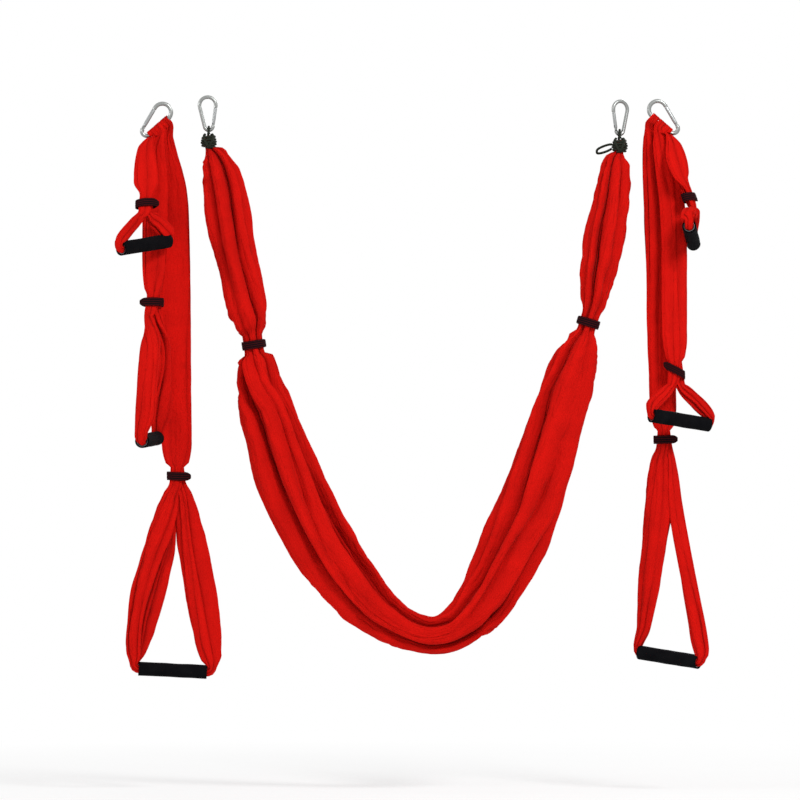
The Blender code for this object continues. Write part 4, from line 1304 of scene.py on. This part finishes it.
# %% [markdown]
# ## Over the spine and down to the band
# A loop is made as two strands, one in front and one behind, which meet over the spine and again
# inside the grip. Each strand is a list of rows: a place, the direction of its breadth, its half
# breadth and its half depth. The first rows go over the spine, where the cloth is packed thin,
# then round the bend beside the bar, and down through the neck, the shoulder and the band.

# %% Over the spine and down to the band
EYE_HALF = 0.00812
EYE_CLOTH = 0.0032
EYE_THIN = EYE_CLOTH * 0.42
EYE_ROOM = 0.0007
BESIDE_BAR, BESIDE_SNUG = 0.0075, 0.8
BEND_BELOW, BEND_DROP = 0.0085, 0.006
BEND_TO_NECK = (0.8, 0.45)
BEND_WIDENS = 0.05
BEND_FRONT, NECK_FRONT = 0.0032, 0.0040
EYE_DEPTH, BEND_DEPTH, NECK_DEPTH = 0.0021, 0.0028, 0.0040
SHOULDER_TURN = 0.6
BUNDLE_DEPTH = 0.0047
CINCH_RUN = 0.050
CINCHING = ((CINCH_RUN, 0.94), (0.010, 0.72))
CINCHED_HALF = Vector((0.0165, 0.0080))
CINCHED_SIDE, CINCHED_OVERLAP = 0.0018, 0.0045


def eye_rows(loop, side):
    """Over the spine and round the bend beside the bar, down to the neck."""
    plan, eye = HOOKS[loop.hook], loop_eye(loop)
    up, spine = plan.away_from_cloth(), plan.spine_direction()
    spine = spine if spine.x > 0 else -spine
    front = Y * side
    radius = plan.bar / 2 + EYE_ROOM + EYE_CLOTH / 2
    rows = []
    for angle in (0, 30, 60, 90):
        out = up * math.cos(math.radians(angle)) + front * math.sin(math.radians(angle))
        rows.append((*(eye + out * radius), *spine, EYE_HALF, EYE_THIN))
    beside = eye - up * BESIDE_BAR + front * radius * BESIDE_SNUG
    across, along = BEND_TO_NECK
    bend = eye - up * BEND_BELOW + Vector((loop.neck.x * across, loop.neck.y * along, -BEND_DROP))
    bend += front * BEND_FRONT
    bend_half = EYE_HALF + (loop.neck_half - EYE_HALF) * BEND_WIDENS
    neck = eye + loop.neck + front * NECK_FRONT
    rows.append((*beside, *spine, EYE_HALF, EYE_DEPTH))
    rows.append((*bend, *(spine * 2 + X).normalized(), bend_half, BEND_DEPTH))
    rows.append((*neck, *(spine + X * 3).normalized(), loop.neck_half, NECK_DEPTH))
    return rows


def band_rows(loop, side):
    """Down from the shoulder and through the cinch band."""
    eye, down = loop_eye(loop), band_lean(loop)
    across, through = about_z(X, loop.band_turn), about_z(Y, loop.band_turn) * side
    front = Y * side * BUNDLE_DEPTH
    turned = about_z(X, loop.band_turn * SHOULDER_TURN)
    rows = [(*(eye + loop.shoulder + front), *turned, loop.shoulder_half, BUNDLE_DEPTH)]
    if (loop.band - loop.shoulder).length > 2 * CINCH_RUN:
        for above, share in CINCHING:
            place = eye + loop.band - down * (BAND_ZONE + above) + front
            rows.append((*place, *across, loop.shoulder_half * share, BUNDLE_DEPTH))
    for reach in (-1, 0, 1):
        place = eye + loop.band + down * BAND_ZONE * reach + through * CINCHED_HALF.y / 2
        place += across * side * CINCHED_SIDE * (1 + reach)
        rows.append((*place, *across, CINCHED_HALF.x - CINCHED_OVERLAP, CINCHED_HALF.y / 2))
    return rows

# %% [markdown]
# ## Down the legs and into the grip
# Below the band each strand becomes a leg, which is a smooth curve from the band to the elbow at
# its end of the grip. It turns to face along the grip, fills out on the way and narrows again.
# Then it goes round the elbow and on inside the plastic tube, to the middle of the grip.

# %% Down the legs and into the grip
GRIP_LENGTH = 0.130
ROD_RADIUS = 0.0084
LEG_APART = 0.0078
LEG_START, LEG_ROWS = 0.06, 13
LEG_TURNED, LEG_FILLED, LEG_NARROWING = 0.45, 0.3, 0.82
CINCHED_DEPTH = 0.0072
ELBOW_RISE = 0.005
ELBOW_STEPS = 3
ELBOW_SNUG, ELBOW_ROOM = 0.8, 0.002
IN_THE_TUBE = (GRIP_LENGTH / 2 - 0.012, GRIP_LENGTH / 4, 0.004)


def leg_ends(loop, side):
    """Where a leg leaves the band and where it turns into the elbow, with how it heads there."""
    centre, axis, up = grip_axis(loop)
    down, across = band_lean(loop), about_z(X, loop.band_turn)
    spread = math.radians(loop.spread)
    below = BAND_ZONE + CINCHED_HALF.x * abs(math.tan(math.radians(loop.band_tilt)))
    below += loop.leg_halves[side > 0][0] / 1000 * math.sin(spread)
    start = loop_eye(loop) + loop.band + down * below + across * side * LEG_APART
    out, radius, _ = loop.elbow
    end = centre + axis * side * (GRIP_LENGTH / 2 + out) + up * (radius + ELBOW_RISE)
    length = (end - start).length
    leave = (down * math.cos(spread) + across * side * math.sin(spread)) * length * loop.hang[0]
    return start, leave, end, -up * length * loop.hang[1]


def leg_rows(loop, side):
    """One leg from just below the band down to its elbow."""
    ends = leg_ends(loop, side)
    halves = np.array(loop.leg_halves[side > 0]) / 1000
    full, shift = loop.leg_depths[side > 0], X * loop.leg_shifts[side > 0] / 1000
    axis = grip_axis(loop)[1]
    grip_turn = math.degrees(math.atan2(axis.y, axis.x))
    rows = []
    for t in np.linspace(LEG_START, 1, LEG_ROWS):
        turned, done = float(eased(t / LEG_TURNED)), float(eased(t))
        narrow = eased((t - LEG_NARROWING) / (1 - LEG_NARROWING))
        swell = float(eased(t / LEG_FILLED) * (1 - narrow))
        place = curve_between(*ends, t) + shift * swell
        turn = loop.band_turn + (grip_turn - loop.band_turn) * turned
        depth = CINCHED_DEPTH + (loop.elbow[2] - CINCHED_DEPTH) * done
        depth += (full - depth) * swell
        rows.append((*place, *about_z(X, turn), np.interp(t, LEG_STATIONS, halves), depth))
    return rows


def elbow_rows(loop, side):
    """Round the elbow and on inside the grip's tube, to its middle."""
    centre, axis, up = grip_axis(loop)
    out, radius, half_depth = loop.elbow
    inward = centre + axis * side * (GRIP_LENGTH / 2 + out - radius) + up * radius
    snug = min(loop.leg_halves[side > 0][-1] / 1000 * ELBOW_SNUG, out + ELBOW_ROOM)
    rows = []
    for share in np.linspace(0, 1, ELBOW_STEPS + 1):
        angle = math.pi / 2 * share
        away = axis * side * math.cos(angle) - up * math.sin(angle)
        half, depth = (size + (ROD_RADIUS - size) * share for size in (snug, half_depth))
        rows.append((*(inward + away * radius), *(away * side), half, depth))
    for reach in IN_THE_TUBE:
        rows.append((*(centre + axis * side * reach), *(-up * side), ROD_RADIUS, ROD_RADIUS))
    return rows

# %% [markdown]
# ## The strips
# The rows are joined by a smooth curve, and the strip is gathered round it with the same rule as
# the hammock. Its creases are deepest at the eye, the band and the elbow, and inside the grip.

# %% The strips
STRAND_FOLDS = fold_plan(2, [Fold(1.0, 1.0, 12)] * 3, [Fold(0.12, 0.7, 5)])
STRAND_STEP = 0.0045
STRAND_PINCH_FROM, STRAND_PINCH_RUN = 0.02, 0.05
LAPS_AT = {-1: 2.4, 1: -0.7}


def strand_bundle(loop, side):
    rows = eye_rows(loop, side) + band_rows(loop, side) + leg_rows(loop, side)
    rows, along = resampled(rows + elbow_rows(loop, side), STRAND_STEP)
    centre, broad = rows[:, :3], rows[:, 3:6]
    heading = headings_of(centre)
    broad = broad - heading * np.sum(broad * heading, axis=1, keepdims=True)
    broad = broad / np.linalg.norm(broad, axis=1, keepdims=True)
    through = np.cross(heading, broad)
    eye, (grip, axis, _) = loop_eye(loop), grip_axis(loop)
    marks = [eye, eye + loop.band, grip + axis * side * (GRIP_LENGTH / 2 + loop.elbow[0])]
    gap = np.min([np.linalg.norm(centre - np.array(mark), axis=1) for mark in marks], axis=0)
    inside = np.linalg.norm(centre - np.array(grip), axis=1) < GRIP_LENGTH / 2
    gap = np.where(inside, 0, gap - STRAND_PINCH_FROM)
    pinch = np.exp(-np.clip(gap, 0, None) / STRAND_PINCH_RUN)
    return Bundle(centre, broad, through, rows[:, 6], rows[:, 7], along, pinch)


for loop in LOOPS:
    sheets, length = [], 0
    for side in (-1, 1):
        bundle = strand_bundle(loop, side)
        length += float(bundle.along[-1])
        sheets.append(gathered(
            bundle, STRAND_FOLDS, seed=loop.seed * 7 + side, lap_at=LAPS_AT[side],
            dips=(0.08, 0.34), uneven=0.7, drift=0.4,
        ))
    body = f"{loop.name}_loop"
    strip = cloth_piece(f"{loop.name}_strip", sheets, body, [f"{loop.name}_loop_cloth"])
    hems(loop.name, sheets, body)
    print(f"{loop.name}: strip {length:.2f} m long, {area_of(strip) / length:.3f} m wide on average")

# %% [markdown]
# ## Cinch bands
# A cinch band is a short length of 16 mm webbing, wrapped round the cloth and sewn to itself, with
# its ends left standing out to one side as a small tab. The band is a grid bent into an oval that
# runs out to a blunt point at the tab, each row a little in or out to raise the ribs of the weave
# and to round its edges. A modifier then gives it its thickness. The tab stands out well on the
# loops and hardly at all on the hammock.

# %% Cinch bands
BAND_HEIGHT = 0.016
BAND_CLEARANCE = 0.0006
BAND_THICKNESS = 0.0022
BAND_SEGMENTS, BAND_ROWS = 64, 17
LOOP_TAB = 0.0055
HAMMOCK_TAB = 0.0015
TAB_SHARPNESS, TAB_CORNER = 14, 20
TAB_FLAT, TAB_LOW = 0.55, 0.5
RIB = 0.00035
RIBS = 3
EDGE_ROUND, EDGE_SHARPNESS = 2.5, 12
LOOP_BAND_HALF = Vector((0.0175, 0.0088))
HAMMOCK_BAND_ROOM = 0.0005


def band_outline(half, tab, reach):
    """The points round a band, and how tall it is at each against its middle.

    A tab that is more than 0 stands out ahead, and one that is less than 0 the other way.
    """
    share = abs(tab) / LOOP_TAB
    points = []
    for angle in np.linspace(0, 2 * math.pi, BAND_SEGMENTS + 1):
        x, y = math.cos(angle), math.sin(angle)
        ahead = max(0.0, math.copysign(x, x * tab))
        point = ahead ** TAB_SHARPNESS
        points.append((
            (half.x + reach) * x + tab * point,
            (half.y + reach) * y * (1 - TAB_FLAT * share * point),
            1 - TAB_LOW * share * ahead ** TAB_CORNER,
        ))
    return points


def band_piece(name, centre, down, through, half, tilt, tab, body):
    across = down.cross(through).normalized()
    through = across.cross(down)
    level_out, slope = math.cos(math.radians(tilt)), -math.sin(math.radians(tilt))
    outside = BAND_CLEARANCE + BAND_THICKNESS
    girth = lengths_along(np.array(band_outline(half, tab, outside))[:, :2])
    rows, flats = [], []
    for level in np.linspace(-1, 1, BAND_ROWS):
        rib = RIB * (0.5 - 0.5 * math.cos(level * math.pi * RIBS))
        rib -= RIB * EDGE_ROUND * abs(level) ** EDGE_SHARPNESS
        rows.append([
            centre + across * x * level_out + through * y
            + down * (level * tall * BAND_HEIGHT / 2 + x * slope)
            for x, y, tall in band_outline(half, tab, outside + rib)
        ])
        flats.append([(run, level * BAND_HEIGHT / 2) for run in girth])
    shape = surface(np.array(rows), np.array(flats), closed=True)
    bmesh.ops.recalc_face_normals(shape, faces=shape.faces)
    obj = show(name, shape, black_webbing, body, [name.replace("_webbing", "")])
    outward = sum((face.center - centre).dot(face.normal) for face in obj.data.polygons)
    wall = obj.modifiers.new("thickness", "SOLIDIFY")
    wall.thickness = BAND_THICKNESS
    wall.offset = -1 if outward > 0 else 1
    wall.use_even_offset = False


for loop in LOOPS:
    tab = -LOOP_TAB if loop.name.endswith("medium") else LOOP_TAB
    band_piece(
        f"{loop.name}_cinch_band_webbing", loop_eye(loop) + loop.band, band_lean(loop),
        about_z(Y, loop.band_turn), LOOP_BAND_HALF, loop.band_tilt, tab, f"{loop.name}_band",
    )
for side in HAMMOCK_BANDS:
    centre, along, half = band_place(side)
    round_half = Vector((1, 1)) * (half + HAMMOCK_BAND_ROOM)
    band_piece(
        f"hammock_{side}_cinch_band_webbing", centre, along, Y, round_half, 0, HAMMOCK_TAB,
        f"hammock_{side}_band",
    )
print(f"cinch bands: {len(LOOPS) + 2}, each {BAND_HEIGHT * 1000:.0f} mm wide webbing")

# %% [markdown]
# ## Foam grips
# A grip is a sleeve of soft foam, 130 mm long and 27 mm thick, pushed over a plastic tube. Its
# profile is a few points in a half plane, spun about the grip's axis. A shallow groove runs round
# each cut end, between the lip of the bore and the rim. Foam never stays quite even, so chance
# moves the skin in and out by a few tenths of a millimetre.

# %% Foam grips
GRIP_RADIUS = 0.0135
FOAM_BORE = 0.0113
LIP_DEEP, LIP_WIDE = 0.0004, 0.0005
GROOVE = 0.0018
SPIN_STEPS = 48
LENGTH_STEPS = 33
SKIN = 0.0008
SKIN_WAVE = (2.5, 0.05)
SKIN_UNEVEN, SKIN_SUNK = 0.00022, 0.0002


def foam_profile():
    """The sleeve's section, (how far along, how far out), from the bore at one end to the other."""
    half = GRIP_LENGTH / 2
    end = [(half - LIP_DEEP, FOAM_BORE), (half, FOAM_BORE + LIP_WIDE)]
    for angle in np.linspace(0, math.pi / 2, 5):
        deep = GROOVE * (1 - math.sin(angle))
        end.append((half - deep, GRIP_RADIUS - deep))
    skin = np.linspace(GROOVE - half, half - GROOVE, LENGTH_STEPS)[1:-1]
    return (
        [(-along, radius) for along, radius in end] + [(along, GRIP_RADIUS) for along in skin]
        + end[::-1]
    )


def foam_shape(centre, axis, seed):
    shape = bmesh.new()
    verts = [shape.verts.new((radius, 0, along)) for along, radius in foam_profile()]
    edges = [shape.edges.new(pair) for pair in zip(verts, verts[1:] + verts[:1])]
    bmesh.ops.spin(
        shape, geom=verts + edges, axis=Z, cent=(0, 0, 0), angle=2 * math.pi, steps=SPIN_STEPS,
        use_merge=True, use_duplicate=False,
    )
    bmesh.ops.remove_doubles(shape, verts=shape.verts, dist=1e-6)
    for vert in shape.verts:
        out = Vector((vert.co.x, vert.co.y, 0))
        if out.length > FOAM_BORE + SKIN:
            angle = math.atan2(vert.co.y, vert.co.x)
            uneven = float(chance(angle / SKIN_WAVE[0], vert.co.z / SKIN_WAVE[1], seed))
            vert.co += out.normalized() * (SKIN_UNEVEN * uneven - SKIN_SUNK)
    shape.transform(Matrix.Translation(centre) @ axis.to_track_quat("Z", "Y").to_matrix().to_4x4())
    shape.normal_update()
    bmesh.ops.recalc_face_normals(shape, faces=shape.faces)
    return shape


for loop in LOOPS:
    centre, axis, _ = grip_axis(loop)
    grip = show(
        f"{loop.name}_grip_foam", foam_shape(centre, axis, loop.seed), black_foam,
        f"{loop.name}_grip", [f"{loop.name}_foam_grip"],
    )
    frame["nodes"][f"{loop.name}_core_tube"].data.materials[0] = grey_plastic
print(f"grips: {len(LOOPS)}, {GRIP_LENGTH * 1000:.0f} mm long and {GRIP_RADIUS * 2000:.0f} mm thick")

# %% [markdown]
# ## Floor and surroundings
# The swing hangs in front of plain white. The floor is pale and keeps the swing's soft shadow, and
# everything that the camera or a polished surface sees past it is white. The same surroundings
# are dimmer to the swing itself, which leaves its shading to the lamps.

# %% Floor and surroundings
FLOOR_DROP = 1.32
FLOOR_SIZE = 9.0
FLOOR_PALE, FLOOR_PALER = (0.90, 0.90, 0.90), (0.94, 0.94, 0.94)
SHADOW_REACH, WHITE_REACH = 0.5, 2.2
WHITE_UNDER_SWING = 0.5
SURROUND = 0.48


def seen_directly(material):
    """1 for what the camera sees, directly, in a gloss or through glass, and 0 for the rest."""
    path = add_node(material, "ShaderNodeLightPath")
    seen = path.outputs["Is Camera Ray"]
    for kind in ("Is Glossy Ray", "Is Transmission Ray"):
        seen = calculate(material, "MAXIMUM", seen, path.outputs[kind])
    return seen


def make_floor():
    """A pale floor that the camera sees as half white below the swing, and white further out."""
    material, shader = new_finish("pale floor", (0.92, 0.92, 0.92), 0.9)
    place = object_place(material)
    clouds = mottle(material, place, scale=3.0)
    paint(material, shader, clouds, [(0.2, FLOOR_PALE), (0.8, FLOOR_PALER)])
    glow = add_node(material, "ShaderNodeEmission", Color=(1, 1, 1, 1), Strength=1.0)
    far = add_node(
        material, "ShaderNodeVectorMath", {"operation": "LENGTH"}, _0=place
    ).outputs["Value"]
    far = add_node(
        material, "ShaderNodeMapRange", Value=far, From_Min=SHADOW_REACH, From_Max=WHITE_REACH,
        To_Min=WHITE_UNDER_SWING, To_Max=1.0,
    ).outputs["Result"]
    share = calculate(material, "MULTIPLY", seen_directly(material), far)
    mix = add_node(
        material, "ShaderNodeMixShader", Fac=share, _1=shader.outputs[0], _2=glow.outputs[0]
    )
    join(material, mix.outputs[0], material.node_tree.nodes["Material Output"], "Surface")
    return material


floor_shape = bmesh.new()
bmesh.ops.create_grid(floor_shape, x_segments=1, y_segments=1, size=FLOOR_SIZE)
floor_mesh = bpy.data.meshes.new("floor")
floor_shape.to_mesh(floor_mesh)
floor_shape.free()
floor_mesh.materials.append(make_floor())
floor = bpy.data.objects.new("floor", floor_mesh)
floor.location = -Z * FLOOR_DROP
bpy.context.collection.objects.link(floor)
floor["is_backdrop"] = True

world = bpy.data.worlds.new("white surroundings")
world.use_nodes = True
bpy.context.scene.world = world
background = world.node_tree.nodes["Background"]
background.inputs["Color"].default_value = (1, 1, 1, 1)
strength = add_node(
    world, "ShaderNodeMapRange", Value=seen_directly(world), To_Min=SURROUND, To_Max=1.0
).outputs["Result"]
join(world, strength, background, "Strength")
print(f"floor: {FLOOR_DROP} m below the hooks, in white surroundings")

# %% [markdown]
# ## Lamps
# The lamps are large and soft. One high in front and to the right and a weaker one on the left
# give the folds their shape, one behind lights the back, and the bright surroundings fill the
# rest. Each is given by its place, the point that it is aimed at, its size and its power.

# %% Lamps
LAMPS = {
    "front lamp": ((1.6, -2.8, 1.9), (0, 0, -0.5), 1.0, 95),
    "left lamp": ((-3.2, -1.4, 0.6), (0, 0, -0.6), 1.0, 30),
    "back lamp": ((1.4, 3.0, 1.2), (0, 0, -0.5), 1.2, 35),
}

for name, (place, aim, size, power) in LAMPS.items():
    lamp = bpy.data.lights.new(name, "AREA")
    lamp.shape = "DISK"
    lamp.size = size
    lamp.energy = power
    obj = bpy.data.objects.new(name, lamp)
    obj.location = place
    obj.rotation_euler = (Vector(aim) - Vector(place)).to_track_quat("-Z", "Y").to_euler()
    bpy.context.collection.objects.link(obj)
bpy.context.scene.view_settings.view_transform = "Standard"
print(f"light: {len(LAMPS)} soft lamps")

# %% [markdown]
# ## The finished sizes
# The visual model may stand a little proud of the working one, as cloth does. Both boxes are kept
# side by side so that they can be compared.

# %% The finished sizes
boxes = {"cad": cad_box, "visual": [list(corner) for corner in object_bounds()]}
for name, (low, high) in boxes.items():
    print(name, [round((b - a) * 1000, 1) for a, b in zip(low, high)], "mm")
